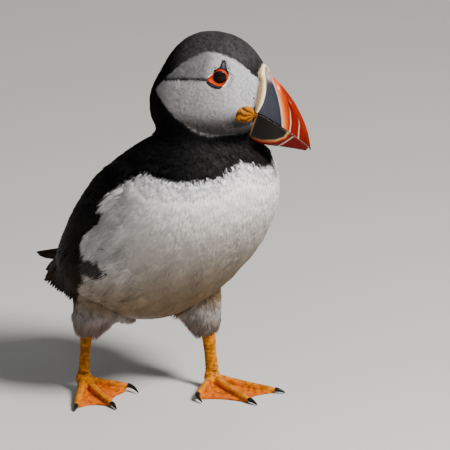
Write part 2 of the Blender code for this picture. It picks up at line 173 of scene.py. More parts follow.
def edit_all(piece, *steps):
    """Runs edit-mode steps on the whole of a piece."""
    select_only(piece)
    bpy.ops.object.mode_set(mode="EDIT")
    bpy.ops.mesh.select_all(action="SELECT")
    for step in steps:
        step()
    bpy.ops.object.mode_set(mode="OBJECT")


def merge_doubles(within):
    return lambda: bpy.ops.mesh.remove_doubles(threshold=within)


def face_outward():
    bpy.ops.mesh.normals_make_consistent(inside=False)


def node_mesh(node):
    return bpy.data.objects[node].data


def merged_copy(node, name):
    """A copy of a CAD node with its loose triangles merged."""
    piece = bpy.data.objects.new(name, node_mesh(node).copy())
    bpy.context.scene.collection.objects.link(piece)
    piece.data.materials.clear()
    edit_all(piece, merge_doubles(NODE_WELD))
    return piece


def apply_modifiers(piece):
    select_only(piece)
    for modifier in list(piece.modifiers):
        bpy.ops.object.modifier_apply(modifier=modifier.name)


def joined(pieces, name):
    deselect()
    for piece in pieces:
        piece.select_set(True)
    bpy.context.view_layer.objects.active = pieces[0]
    bpy.ops.object.join()
    pieces[0].name = name
    pieces[0].data.name = name
    return pieces[0]


def fused(nodes, name, growth, voxel, smoothing):
    """Several CAD nodes as one smooth closed skin."""
    piece = joined([merged_copy(node, f"{name}_{node}") for node in nodes], name)
    if growth:
        swell = piece.modifiers.new("swell", "DISPLACE")
        swell.mid_level = 0.0
        swell.strength = growth * MM
    fuse = piece.modifiers.new("fuse", "REMESH")
    fuse.mode = "VOXEL"
    fuse.voxel_size = voxel * MM
    soften = piece.modifiers.new("soften", "SMOOTH")
    soften.factor = 0.5
    soften.iterations = smoothing
    apply_modifiers(piece)
    piece.data.shade_smooth()
    return piece


def read_rows(rows, field, size=3, kind=float):
    """A field of a mesh's vertices, normals, loops or triangles as an array."""
    flat = np.empty(len(rows) * size, kind)
    rows.foreach_get(field, flat)
    return flat.reshape(-1, size)


def points_of(mesh):
    """A mesh's points in the bird's frame."""
    return to_bird(read_rows(mesh.vertices, "co"))


def surface_of(mesh):
    """A mesh's points in the bird's frame, and their normals."""
    return points_of(mesh), read_rows(mesh.vertex_normals, "vector")


def move_points(piece, points):
    """Moves a piece's points to places in the bird's frame."""
    piece.data.vertices.foreach_set("co", to_model(points).ravel())
    piece.data.update()


def paint(mesh, colours, name="plumage"):
    """Stores a colour for each vertex."""
    layer = mesh.color_attributes.get(name) or mesh.color_attributes.new(name, "FLOAT_COLOR", "POINT")
    rgba = np.ones((len(mesh.vertices), 4))
    rgba[:, :3] = colours
    layer.data.foreach_set("color", rgba.ravel())


def mesh_from_arrays(name, points, faces, colours=None, uvs=None):
    """A mesh object from points and arrays of quads or triangles; uvs gives one pair for each point."""
    mesh = bpy.data.meshes.new(name)
    mesh.vertices.add(len(points))
    mesh.vertices.foreach_set("co", to_model(points).ravel())
    corners = np.concatenate([rows.ravel() for rows in faces])
    sizes = np.concatenate([np.full(len(rows), rows.shape[1]) for rows in faces])
    mesh.loops.add(len(corners))
    mesh.loops.foreach_set("vertex_index", corners.astype(np.int32))
    mesh.polygons.add(len(sizes))
    mesh.polygons.foreach_set("loop_start", (np.cumsum(sizes) - sizes).astype(np.int32))
    mesh.update(calc_edges=True)
    mesh.shade_smooth()
    if uvs is not None:
        layer = mesh.uv_layers.new(name="OFBake")
        layer.uv.foreach_set("vector", uvs[corners].ravel())
    if colours is not None:
        paint(mesh, colours)
    piece = bpy.data.objects.new(name, mesh)
    bpy.context.scene.collection.objects.link(piece)
    return piece


def dress(piece, finish):
    """Gives a piece its finish and fixes it to the bird."""
    piece.data.materials.append(MATERIALS[finish])
    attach(piece, ROOT)


# ---------------------------------------------------------------- the bird's fields


COAT_DEPTH = 1.8
LESS_ON_HEAD, LESS_ON_LEGS, LESS_ON_WINGS = 0.9, 0.4, 0.6
BODY_AXIS = -10.0  # Y of the upright line that angles round the body are taken from
HEAD_JOIN = (140, 156)  # heights between which the head takes over from the body
HEAD_BLUR, BODY_BLUR = 0.42, 1.3  # how far a feather's colour may stray from the pattern


def coat_depth(points):
    """How deep the skin lies under the tips of the plumage."""
    height = points[:, 2]
    depth = COAT_DEPTH - LESS_ON_HEAD * ramp(height, 148, 160)
    behind = ramp(body_angle(points), 112, 132) * (1 - ramp(height, 120, 136))
    legs = 1 - ramp(height, 40, 52)
    return depth - LESS_ON_LEGS * legs - LESS_ON_WINGS * behind * (1 - legs)


def body_angle(points):
    """Angle round the body from the breast, in degrees, 0 ahead and 180 behind."""
    return np.degrees(np.arctan2(np.abs(points[:, 0]), -(points[:, 1] - BODY_AXIS)))


def leaning_height(points):
    """Height over a plane that leans as the neck does."""
    return points[:, 2] + 0.35 * (points[:, 1] - HEAD_CENTRE[1])


# Edge between white front and black back: height, and the angle where the black begins.
BLACK_EDGE = (
    (35.0, 147.0), (45.0, 143.0), (58.0, 134.0), (66.0, 121.0), (81.0, 118.0), (90.0, 119.0),
    (100.0, 112.0), (109.0, 105.0), (114.0, 100.0), (119.0, 93.0), (124.0, 85.0), (129.0, 78.0),
    (133.0, 69.0), (137.0, 60.0), (300.0, 60.0),
)
# Lower edge of the black collar: angle and height.
COLLAR_EDGE = (
    (0.0, 138.2), (8.0, 135.9), (15.0, 133.4), (22.0, 132.0), (33.0, 131.4), (46.0, 131.4),
    (56.0, 131.9), (66.0, 133.6), (75.0, 138.0),
)
FLANK_PATCH = (112.0, 75.0, 12.5, 5.2)  # angle, height, half sizes
VENT = (166.0, 50.0)  # angle, height: behind and below this the plumage is pale

# The pale face patch: its middle, then half length, power and half height behind, above and below.
FACE_MIDDLE = (4.0, -0.3)
FACE_ARCS = ((28.3, 1.6, 22.4), (30.0, 2.2, 22.2), (33.0, 7, 23.2))
EYE_LINE_HEIGHT, EYE_LINE_FALL, EYE_LINE_BEND = 8.6, 0.022, 1.62
SMUDGE = (18.5, -16.5)  # dark feathers ahead of the mouth's corner


def face_reach(head):
    """Below 1 inside the pale face patch, above 1 outside it."""
    forward, up = head[:, 0] - FACE_MIDDLE[0], head[:, 2] - FACE_MIDDLE[1]
    arcs = [np.abs(forward / long) ** power + np.abs(up) / high for long, power, high in FACE_ARCS]
    behind, above, below = arcs
    return np.where(forward < 0, behind, np.where(up > 0, above, below))


def eye_line_height(forward):
    """The thin dark line runs back from the eye and bends down."""
    return EYE_LINE_HEIGHT - EYE_LINE_FALL * np.maximum(-forward, 0.0) ** EYE_LINE_BEND


def face_colour(forward, up, from_eye):
    """Pale grey, lighter ahead with painted light, darker low down with painted shade over a slightly
    darker real lower rear, darker over the eye line, with a white edge round the eye.
    """
    # Painted light: the face is lighter ahead and high up, towards the bill.
    face = mix(CHEEK, LORES_PAINTED_LIGHT, ramp(forward, 8, 20) * ramp(up, -12, 0))
    # Painted shade: the lower cheek darkens far more than its own slightly darker grey.
    face = mix(face, LOW_CHEEK_SHADE, 0.9 * ramp(-up + 0.08 * forward, 7.5, 19))
    over_line = up - eye_line_height(forward)
    face = mix(face, BROW, ramp(over_line, -0.3, 0.6) * (1 - ramp(forward, 2, 9)))
    kite = by_bearing(closed_curve(EYE_RIM, RIM_POINTS))
    gap, _ = polyline_distance(from_eye, np.concatenate([kite, kite[:1]]))
    face = mix(face, WHITE, 0.7 * (1 - ramp(gap, 0.5, 0.9)))
    fine = 0.70 + 0.30 * ramp(forward, -14, 0)
    return mix(face, EYE_LINE, bell(over_line, fine) * (1 - ramp(forward, 4.6, 5.6)))


def head_colour(points, jitter):
    """Black cap and nape round a pale grey face."""
    head = to_head(points)
    from_eye = head[:, [0, 2]] - EYE_PLACE
    head = head + jitter * HEAD_BLUR
    forward, up = head[:, 0], head[:, 2]
    # The cap is lighter on top and ahead: partly the crown's real grey-black, partly a painted sheen.
    cap = mix(BLACK, CROWN_AND_SHEEN, ramp(up, 6, 20) * ramp(forward, -24, -4))
    face = face_colour(forward, up, from_eye)
    rim = bell(face_reach(head) - 0.972, 0.012) * ramp(-up, 2, 8)
    face = mix(face, WHITE * 0.5, 0.4 * rim)
    ahead = forward - SMUDGE[0]
    face = mix(face, EYE_LINE, 0.75 * spot(ahead, 4.2, up - SMUDGE[1] + 0.25 * ahead, 2.0))
    return mix(face, cap, ramp(face_reach(head), 0.985, 1.03))


def pale_colour(points, angle, height):
    """White breast with painted shade just under the collar, a belly with painted shade that is darker and
    warmer low down as if lit warmly from below, grey flanks and dusky feathers on the legs.
    """
    # Painted shade: lower down the belly turns darker and warmer.
    pale = mix(WHITE, BELLY_SHADE, 1 - ramp(height + 0.28 * points[:, 1], 46, 124))
    pale = mix(pale, FLANK, 0.8 * ramp(angle, 62, 96) * ramp(height, 60, 90))
    under_collar = read_curve(COLLAR_EDGE, angle) - height
    # Painted shade: the white just under the black collar is greyed.
    pale = mix(pale, SHADE_UNDER_COLLAR, 1 - ramp(under_collar, 1.0, 15.0))
    legs = (1 - ramp(height, 40, 50)) * ramp(np.abs(points[:, 0]), 6, 14)
    pale = mix(pale, THIGH, legs)
    return mix(pale, FRINGE, 0.75 * (1 - ramp(height, 32, 42)) * legs)


def black_share(points, angle, height):
    """1 on the back, the collar and the flank's patch, 0 on the pale front, the legs and the vent."""
    legs = (1 - ramp(height, 44, 50)) * (1 - ramp(np.abs(points[:, 0]), 30, 36))
    black = ramp(angle - read_curve(BLACK_EDGE, height), -2.0, 2.0) * (1 - legs)
    black = np.maximum(black, ramp(height - read_curve(COLLAR_EDGE, angle), -0.8, 0.9))
    turn, level, wide, tall = FLANK_PATCH
    patch = ((angle - turn) / wide) ** 2 + ((height - level) / tall) ** 2
    black = np.maximum(black, 0.93 * (1 - ramp(patch, 0.75, 1.15)))
    vent = ramp(angle, VENT[0] - 5, VENT[0]) * (1 - ramp(height, VENT[1] - 3, VENT[1]))
    return black * (1 - vent)


def body_colour(points, jitter):
    """The pale front and the black back and collar, browner low down, with painted light that makes the
    collar's front at the throat lighter and browner.
    """
    points = points + jitter * BODY_BLUR
    angle, height = body_angle(points), points[:, 2]
    dark = mix(BLACK, WING_BROWN, 0.6 * (1 - ramp(height, 60, 84)))
    # Painted light: the collar's front is lighter and browner, as if lit.
    dark = mix(dark, COLLAR_FRONT_LIGHT, (1 - ramp(angle, 12, 50)) * (1 - ramp(height, 144, 150)))
    return mix(pale_colour(points, angle, height), dark, black_share(points, angle, height))


def plumage_colour(points, jitter=0.0):
    """The one pattern that skin and feathers share."""
    share = ramp(leaning_height(points), 143, 149)
    return mix(body_colour(points, jitter), head_colour(points, jitter), share)


LIE_START = np.array((36.0, 0.0, -3.0))  # the head's feathers lie away from this place in the bill
LEG_LIE = np.array((0.0, 0.15, -1.0))


def head_lie(head):
    """Back from the bill, and down behind the face."""
    away = head - LIE_START
    away[:, 1] *= 0.45
    away = unit(away)
    away[:, 2] -= 0.14 + 2.0 * ramp(-head[:, 0], 0, 20)
    return away[:, 0:1] * FORWARD + away[:, 1:2] * LEFT + away[:, 2:3] * UP


def body_lie(points):
    """Down the body, and back along its sides."""
    height = points[:, 2]
    aside = ramp(body_angle(points), 20, 85)
    neck = ramp(height, 118, 140)
    back = (0.42 + 0.40 * aside) * (1 - 0.6 * neck) + 0.25 * (1 - ramp(height, 50, 75))
    lie = np.stack([0.0 * height, back, -0.95 + 0.38 * aside - 0.3 * neck], 1)
    return mix(lie, LEG_LIE, 1 - ramp(height, 38, 50))


def feather_lie(points, normals):
    """Which way the feathers lie on the skin."""
    share = ramp(points[:, 2], *HEAD_JOIN)
    lie = mix(unit(body_lie(points)), unit(head_lie(to_head(points))), share)
    lie -= normals * np.sum(lie * normals, axis=1, keepdims=True)
    return unit(lie)


LOCK_WAVES = 7
LOCK_SUM = 2.6  # what their sum is divided by, to lie between about -1 and 1


def lock_waves(points, wave, seed):
    """Waves that run along the coat's lie: its locks, and the painted shade that darkens the lower ones."""
    rng = np.random.default_rng(seed)
    head = to_head(points)
    share = ramp(points[:, 2], *HEAD_JOIN)
    bearing = np.arctan2(head[:, 2] + 3.0, 33.0 - head[:, 0]) * 30.0
    body = np.stack([points[:, 0], 0.62 * points[:, 1] + 0.8 * points[:, 2]], axis=1)
    across = mix(body, np.stack([head[:, 1], bearing], axis=1), share)
    down = (0.8 * points[:, 1] - 0.62 * points[:, 2]) * (1 - share) - head[:, 0] * share
    total = np.zeros(len(points))
    for _ in range(LOCK_WAVES):
        turn, length = rng.uniform(0, 2 * np.pi), wave * rng.uniform(0.65, 1.5)
        way = np.array((math.cos(turn), math.sin(turn)))
        phase = 2 * np.pi * (across @ way / length + down / (wave * rng.uniform(3.5, 7.0)))
        total += np.sin(phase + rng.uniform(0, 2 * np.pi))
    return total / LOCK_SUM


# ---------------------------------------------------------------- skin


def surface_tree(*meshes):
    """A search tree over meshes in the bird's frame."""
    points, faces = [], []
    for mesh in meshes:
        faces += [tuple(corner + len(points) for corner in face.vertices) for face in mesh.polygons]
        points += [tuple(point) for point in points_of(mesh)]
    return BVHTree.FromPolygons(points, faces)


def thickness_inward(tree, points, normals, most=12.0):
    """How thick the solid is under each point."""
    found = np.full(len(points), most)
    for i, (point, normal) in enumerate(zip(points, normals)):
        inward = Vector(-normal)
        hit = tree.ray_cast(Vector(point) + inward * 0.05, inward, most)
        if hit[0] is not None:
            found[i] = hit[3]
    return found


def hollows(points, room):
    """How much further the skin sinks: under the bill, then within the eye's rim and round it."""
    head = to_head(points)
    above_chin = head[:, 2] - read_curve(GONYS, head[:, 0])
    under_bill = ramp(head[:, 0] - bill_seat_forward(head[:, 2]), -0.6, 1.0) * ramp(above_chin, -1.5, 1.0)
    yield under_bill * np.minimum(2.4, 0.3 * room)
    from_eye = np.hypot(*(head[:, [0, 2]] - EYE_PLACE - OPENING_MIDDLE).T)
    beside_eye = ramp(points[:, 2], 150, 160)
    yield 3.0 * (1 - ramp(from_eye, 3.4, 4.4)) * beside_eye
    yield 0.6 * (1 - ramp(from_eye, 5.4, 6.6)) * beside_eye


def make_skin():
    """One skin for head, neck, trunk, wings, tail and thighs, sunk by the depth of the coat."""
    skin = fused(FLESH + CORE_FILLERS, "skin", SKIN_GROWTH, SKIN_VOXEL, SKIN_SMOOTHING)
    points, normals = surface_of(skin.data)
    room = thickness_inward(surface_tree(skin.data), points, normals)
    sink = np.minimum(coat_depth(points) + SKIN_GROWTH, 0.3 * room)
    for hollow in hollows(points, room):
        sink += hollow
    move_points(skin, points - normals * sink[:, None])
    soften = skin.modifiers.new("soften", "SMOOTH")
    soften.iterations = 2
    apply_modifiers(skin)
    paint(skin.data, plumage_colour(points_of(skin.data)))
    unwrap(skin)
    return skin


def unwrap(piece):
    edit_all(piece, lambda: bpy.ops.uv.smart_project(angle_limit=math.radians(66), island_margin=0.004))
    piece.data.uv_layers[0].name = "OFBake"


class Ground:
    """The skin as arrays in the bird's frame, to plant feathers on."""

    def __init__(self, skin):
        mesh = skin.data
        mesh.calc_loop_triangles()
        self.corners = read_rows(mesh.loop_triangles, "vertices", kind=np.int32)
        self.points, self.normals = surface_of(mesh)
        loops = read_rows(mesh.loop_triangles, "loops", kind=np.int32)
        self.uv = read_rows(mesh.uv_layers["OFBake"].uv, "vector", size=2)[loops]
        a, b, c = (self.points[self.corners[:, i]] for i in range(3))
        self.areas = np.linalg.norm(np.cross(b - a, c - a), axis=1) / 2
        self.tree = surface_tree(mesh)
        self.solids = surface_tree(*(node_mesh(node) for node in FLESH))

    def scatter(self, per_mm2, rng, head_share=1.0):
        """Random roots: place, normal and unwrapped place. The head may take more for its size."""
        height = self.points[self.corners].mean(axis=1)[:, 2]
        weight = self.areas * (1 + (head_share - 1) * ramp(height, 138, 146))
        count = int(weight.sum() * per_mm2)
        chosen = rng.choice(len(weight), count, p=weight / weight.sum())
        u, v = rng.random(count), rng.random(count)
        u, v = np.where(u + v > 1, 1 - u, u), np.where(u + v > 1, 1 - v, v)
        shares = np.stack([1 - u - v, u, v], axis=1)[:, :, None]
        corners = self.corners[chosen]
        places = (self.points[corners] * shares).sum(axis=1)
        normals = unit((self.normals[corners] * shares).sum(axis=1))
        return places, normals, (self.uv[chosen] * shares).sum(axis=1)

    def room_over(self, points, normals, most=5.0):
        """How far the solids reach above places on the skin."""
        found = np.full(len(points), most)
        for i, (point, normal) in enumerate(zip(points, normals)):
            hit = self.solids.ray_cast(Vector(point), Vector(normal), most)
            if hit[0] is not None:
                found[i] = hit[3]
        return found

    def nearest(self, points):
        """The nearest place on the skin, and its normal."""
        places, normals = np.empty_like(points), np.empty_like(points)
        for i, point in enumerate(points):
            place, normal, _, _ = self.tree.find_nearest(Vector(point))
            places[i], normals[i] = place, normal
        return places, normals

    def unwrapped(self, points):
        """The unwrapped place of the skin nearest to each point."""
        found = np.empty((len(points), 2))
        first = {}
        for i, corner in enumerate(self.corners):
            first.setdefault(corner[0], i)
        keys = np.array(list(first))
        for i, point in enumerate(points):
            near = keys[np.argmin(((self.points[keys] - point) ** 2).sum(axis=1))]
            found[i] = self.uv[first[near]][0]
        return found


def thinned(places, spacing):
    """Keeps the roots that are further than the spacing from those kept before."""
    boxes, kept = {}, []
    keys = np.floor(places / spacing).astype(int)
    around = [(i, j, k) for i in (-1, 0, 1) for j in (-1, 0, 1) for k in (-1, 0, 1)]
    for i, (place, key) in enumerate(zip(places, keys)):
        near = [n for o in around for n in boxes.get((key[0] + o[0], key[1] + o[1], key[2] + o[2]), ())]
        if near and (((places[near] - place) ** 2).sum(axis=1) < spacing**2).any():
            continue
        boxes.setdefault(tuple(key), []).append(i)
        kept.append(i)
    return np.array(kept, int)


# ---------------------------------------------------------------- plumage


HANG = np.array((0.0, 0.22, -1.0))
PATH_STEPS = 3


def feather_paths(ground, roots, normals, lengths, turn, hang):
    """Middle lines of feathers that follow the lie of the coat over the skin, or hang free of it."""
    places, ups, ways = [roots], [normals], []
    place, up = roots, normals
    for _ in range(PATH_STEPS):
        lie = feather_lie(place, up)
        side = np.cross(up, lie)
        lie = lie * np.cos(turn)[:, None] + side * np.sin(turn)[:, None]
        lie = unit(lie * (1 - hang) + (HANG + 0.12 * normals) * hang)
        ways.append(lie)
        free = place + lie * (lengths / PATH_STEPS)[:, None]
        below, below_up = ground.nearest(free)
        over = np.sum((free - below) * below_up, axis=1) > 0
        place = below + (free - below) * (0.85 * hang * over)[:, None]
        up = unit(below_up + 2 * ups[-1] if hang else below_up + ups[-1])
        places.append(place)
        ups.append(up)
    ways.append(ways[-1])
    return np.stack(places, 1), np.stack(ups, 1), np.stack(ways, 1)


def along(stack, share):
    """Values on a path of evenly spaced rows, read at a share of its length."""
    steps = stack.shape[1] - 1
    place = np.clip(share, 0, 0.9999) * steps
    index = place.astype(int)
    rows = np.arange(len(stack))[:, None]
    part = (place - index)[..., None]
    return stack[rows, index] * (1 - part) + stack[rows, index + 1] * part


# A barb is a thin closed spindle: its root, a three-sided middle and its tip.
BARB_TRIANGLES = np.array([(0, 1, 2), (0, 2, 3), (0, 3, 1), (4, 2, 1), (4, 3, 2), (4, 1, 3)])
BARB_POINTS = 5
BARB_MIDDLE = 0.38
# A barb's root, middle and tip: share of its length, spread across the feather and share of its lift.
BARB_STATIONS = ((0.0, 0.30, -0.15), (BARB_MIDDLE, 0.46, 0.80), (1.0, 0.52, 1.0))
PATCH = 0.003  # a tuft's size on the unwrapped skin


def feather_sizes(roots, normals, look, rng):
    """Each feather's length, kept off bare parts and colour edges, the share of it left, width and turn."""
    count = len(roots)
    length = look["length"] * rng.uniform(0.85, 1.12, count) * clear_reach(roots, normals, look["length"])
    length *= 1 - crosses_edge(roots, normals, length) * rng.uniform(0.2, 0.5, count)
    left = np.clip(length / look["length"], 0.4, 1.0)
    width = look["width"] * rng.uniform(0.9, 1.1, count) * left**0.5
    return length, left, width, rng.normal(0.0, look["turn"], count)


def barb_points(ground, roots, normals, look, locks, rng):
    """Five points for each barb of each feather, their soft normals, and the barbs' places across it."""
    count, barbs = len(roots), look["barbs"]
    length, left, width, turn = feather_sizes(roots, normals, look, rng)
    paths, ups, ways = feather_paths(ground, roots, normals, length, turn, look.get("hang", 0.0))
    stacks = (paths, ups, np.cross(ups, ways), ways)
    across = np.linspace(-1, 1, barbs)[None, :] + rng.uniform(-0.6, 0.6, (count, barbs)) / barbs
    reach = (1 - 0.18 * across**2) * rng.uniform(0.68, 1.04, (count, barbs))
    room = np.clip(ground.room_over(paths[:, -1], ups[:, -1]), 0.5, 1.35 * look["lift"])
    rise = (room * left * (1 + look["lock"] * locks))[:, None]
    lift = rise * rng.uniform(0.95, 1.05, (count, 1)) * rng.uniform(0.95, 1.05, (count, barbs))
    thick = look["barb"] * rng.uniform(0.75, 1.25, (count, barbs))
    points, soft = [], []
    for share, spread, height in BARB_STATIONS:
        middle, up, side, way = (along(stack, reach * share) for stack in stacks)
        centre = middle + side * (width[:, None] * spread * across)[..., None]
        centre = centre + up * (lift * height)[..., None]
        if share == BARB_MIDDLE:
            half, ridge = side * (thick * 0.5)[..., None], up * (thick * 0.28)[..., None]
            points += [centre - half, centre + ridge, centre + half]
            soft += [up - 0.45 * side, up, up + 0.45 * side]
        else:
            points.append(centre)
            soft.append(up + 0.3 * share * way)
    return np.stack(points, axis=2), unit(np.stack(soft, axis=2)), across


def barb_colours(points, look, locks, rng):
    """The bird's pattern, with painted shade for each lock, a tone for each feather and barb, and a shade
    for its root and tip.
    """
    count, barbs = points.shape[:2]
    seen = (points[:, :, 2] * 0.35 + points[:, :, 4] * 0.65).reshape(-1, 3)
    blur = np.repeat(rng.normal(0, 0.3, (count, 3)), barbs, axis=0) + rng.normal(0, 0.4, (count * barbs, 3))
    tint = plumage_colour(seen, blur).reshape(count, barbs, 3)
    # Painted shade: locks that lie lower are darker, and those that stand higher are lighter.
    tint = tint * rng.uniform(*look["tone"], (count, 1, 1)) * (1 + look["lock_shade"] * locks)[:, None, None]
    tint = tint * rng.uniform(*look["streak"], (count, barbs, 1))
    shade = np.array([1.0] * 4 + [look["tip_tone"]])
    colours = tint[:, :, None, :] * shade[None, None, :, None]
    root = plumage_colour(points[:, :, 0].reshape(-1, 3), blur).reshape(count, barbs, 3)
    # The root is darker: partly real grey down, partly painted shade under the coat.
    colours[:, :, 0] = root * look["root_down_and_shade"]
    return np.clip(colours.reshape(-1, 3), 0, 0.9)


def barb_patches(uv, across):
    """Places on the unwrapped skin for each point of each barb."""
    shape = (*across.shape, BARB_POINTS)
    u = np.broadcast_to(across[..., None] * 0.42, shape)
    v = np.broadcast_to(np.array((-0.5, -0.1, -0.1, -0.1, 0.5)), shape)
    patches = uv[:, None, None, :] + np.stack([u, v], axis=-1) * PATCH
    return np.clip(patches.reshape(-1, 2), 0, 1)


def plume(ground, name, roots, normals, uv, look, rng):
    """A piece of coat: soft feathers, each a fan of thin barbs that share a root."""
    locks = lock_waves(roots, look["wave"], SEED)
    points, soft, across = barb_points(ground, roots, normals, look, locks, rng)
    colours = barb_colours(points, look, locks, rng)
    first = np.arange(across.size)[:, None, None] * BARB_POINTS
    triangles = (BARB_TRIANGLES[None] + first).reshape(-1, 3)
    piece = mesh_from_arrays(name, points.reshape(-1, 3), [triangles], colours, barb_patches(uv, across))
    piece.data.normals_split_custom_set_from_vertices(soft.reshape(-1, 3).tolist())
    dress(piece, look["material"])


def inside_outline(flat, outline):
    """Which points of the plane lie inside a closed outline."""
    found = np.zeros(len(flat), bool)
    for a, b in zip(outline, np.roll(outline, -1, axis=0)):
        crosses = (a[1] > flat[:, 1]) != (b[1] > flat[:, 1])
        rise = b[1] - a[1] if b[1] != a[1] else 1e-9
        found ^= crosses & (flat[:, 0] < a[0] + (flat[:, 1] - a[1]) / rise * (b[0] - a[0]))
    return found


def bare(points, margin):
    """Which points lie on the bill, the eye with its plates, or the corners of the mouth."""
    head = to_head(points)
    flat = head[:, [0, 2]]
    found = np.zeros(len(points), bool)
    for outline in (EYE_RIM, UPPER_PLATE, LOWER_BAR):
        shape = closed_curve(outline, 32)
        middle = shape.mean(axis=0)
        out = shape - middle
        size = 1 + 0.5 * margin / np.maximum(np.linalg.norm(out, axis=1, keepdims=True), 0.5)
        found |= inside_outline(flat - EYE_PLACE, middle + out * size)
    forward, up = flat.T
    from_corner = np.hypot(forward - ROSETTE[0] - 0.5, (up - ROSETTE[1]) * 1.2)
    found |= from_corner < ROSETTE_REACH + 0.4 * margin
    found &= np.abs(head[:, 1]) > 5.0
    over_chin = up > read_curve(GONYS, forward) - 0.4
    return found | (over_chin & (forward > bill_seat_forward(up) - 0.2 - 0.3 * margin))


EDGE_CONTRAST = 0.12  # how much brightness may change along a feather


def crosses_edge(roots, normals, length):
    """1 for feathers that would run across an edge between dark and pale plumage, otherwise 0."""
    tips = roots + feather_lie(roots, normals) * length[:, None]
    change = plumage_colour(roots).mean(axis=1) - plumage_colour(tips).mean(axis=1)
    return (np.abs(change) > EDGE_CONTRAST).astype(float)


def clear_reach(roots, normals, length):
    """The share of a feather's length that stays off the bare parts of the head."""
    lie = feather_lie(roots, normals)
    reach = np.ones(len(roots))
    for share in (1.0, 0.8, 0.6, 0.45, 0.3):
        blocked = bare(roots + lie * (length * share), -0.3)
        reach[blocked] = share * 0.92
    return reach


# Coat by region: spacing, length, width, lift and turn of the feathers, their barbs and how wide each is,
# and the locks' size, height and painted shade.
COAT_COLUMNS = ("spacing", "length", "width", "lift", "turn", "barbs", "barb", "wave", "lock", "lock_shade")
COAT_ROWS = {
    "face": (0.46, 3.6, 1.2, 0.80, 0.05, 5, 0.44, 2.6, 0.06, 0.08),
    "cap": (0.66, 3.0, 1.3, 0.90, 0.06, 4, 0.38, 2.4, 0.08, 0.14),
    "collar": (0.92, 5.0, 2.0, 1.70, 0.07, 6, 0.44, 4.5, 0.14, 0.30),
    "breast": (0.98, 9.0, 2.6, 2.35, 0.06, 7, 0.50, 6.0, 0.06, 0.02),
    "belly": (1.06, 9.5, 2.8, 2.35, 0.08, 7, 0.50, 7.0, 0.16, 0.13),
    "flank": (1.30, 12.0, 3.4, 2.80, 0.15, 9, 0.48, 8.0, 0.28, 0.22),
    "back": (1.45, 8.0, 3.0, 2.20, 0.06, 8, 0.46, 6.0, 0.10, 0.20),
    "thigh": (1.05, 8.0, 2.4, 2.00, 0.14, 7, 0.42, 5.0, 0.26, 0.18),
    "fringe": (1.25, 8.6, 2.8, 1.60, 0.16, 9, 0.42, 5.0, 0.20, 0.20),
}
# Shades of a feather's root, darker as real grey down and as painted shade, and of its tip, and the spread
# of shades from feather to feather and barb to barb.
TONE_COLUMNS = ("material", "root_down_and_shade", "tip_tone", "tone", "streak")
PALE_COAT = ("white_plumage", 0.85, 1.04, (0.96, 1.04), (0.94, 1.06))
RUFFLED_COAT = ("white_plumage", 0.85, 1.12, (0.82, 1.12), (0.84, 1.14))
DARK_COAT = ("black_plumage", 0.7, 1.4, (0.75, 1.3), (0.8, 1.25))
COAT_TONES = {name: PALE_COAT for name in ("face", "breast", "belly")}
COAT_TONES.update({name: RUFFLED_COAT for name in ("flank", "thigh", "fringe")})
COAT_TONES.update({name: DARK_COAT for name in ("cap", "collar", "back")})
FRINGE_HANG = 0.8

COAT_ROOTS = 3.0  # random roots for each square millimetre, before they are thinned
HEAD_ROOTS = 2.3  # how many times as many on the head


def coat_looks():
    """The feathers' measures and shades for each region of the coat."""
    columns = COAT_COLUMNS + TONE_COLUMNS
    looks = {name: dict(zip(columns, row + COAT_TONES[name])) for name, row in COAT_ROWS.items()}
    looks["fringe"]["hang"] = FRINGE_HANG
    return looks


def near_nodes(nodes, points, within):
    """Which points lie close to the surface of any of some CAD nodes."""
    near = np.zeros(len(points), bool)
    for node in nodes:
        tree = surface_tree(node_mesh(node))
        near |= np.array([tree.find_nearest(Vector(point), within)[0] is not None for point in points])
    return near


def region_of(points):
    """Names the coat region of each root, or nothing where bare parts and vanes go."""
    angle, height = body_angle(points), points[:, 2]
    region = np.full(len(points), "belly", dtype="<U8")
    region[height > 88] = "breast"
    region[(angle > 72) & (height > 58)] = "flank"
    region[(angle > read_curve(BLACK_EDGE, height)) & (height > 52)] = "back"
    collar = height > read_curve(COLLAR_EDGE, angle) - 1.0
    region[collar | ((height > 126) & (angle > 72))] = "collar"
    on_head = leaning_height(points) > 147
    region[on_head] = "cap"
    region[on_head & (face_reach(to_head(points)) < 1.0)] = "face"
    region[(height < 50) & near_nodes(THIGHS, points, 4.0)] = "thigh"
    region[bare(points, -2.0)] = ""
    under_vanes = near_nodes(("wing_left", "wing_right", "tail"), points, 2.6)
    region[under_vanes & (angle > 90) & (height < 128)] = ""
    return region


def make_coat(ground):
    """Soft feathers over the whole skin, one piece for each region and side."""
    rng = np.random.default_rng(SEED)
    places, normals, uv = ground.scatter(COAT_ROOTS, rng, HEAD_ROOTS)
    region = region_of(places)
    inner = (places[:, 0] > 0) & (places[:, 0] < 22) & (region != "thigh")
    hangs = (places[:, 2] < 56) & near_nodes(THIGHS, places, 11.0) & (normals[:, 2] < 0.3) & ~inner
    for name, look in coat_looks().items():
        mine = np.flatnonzero(hangs if name == "fringe" else region == name)
        mine = mine[thinned(places[mine], look["spacing"] * (1.0))]
        for side, chosen in (("left", places[mine, 0] > 0), ("right", places[mine, 0] <= 0)):
            rows = mine[chosen]
            plume(ground, f"coat_{name}_{side}", places[rows], normals[rows], uv[rows], look, rng)


# ---------------------------------------------------------------- vanes


VANE_STEPS, VANE_ACROSS = 9, 5
VANE_SHOULDER = 0.4  # share of its length from where a vane narrows
VANE_THICKNESS = 0.26


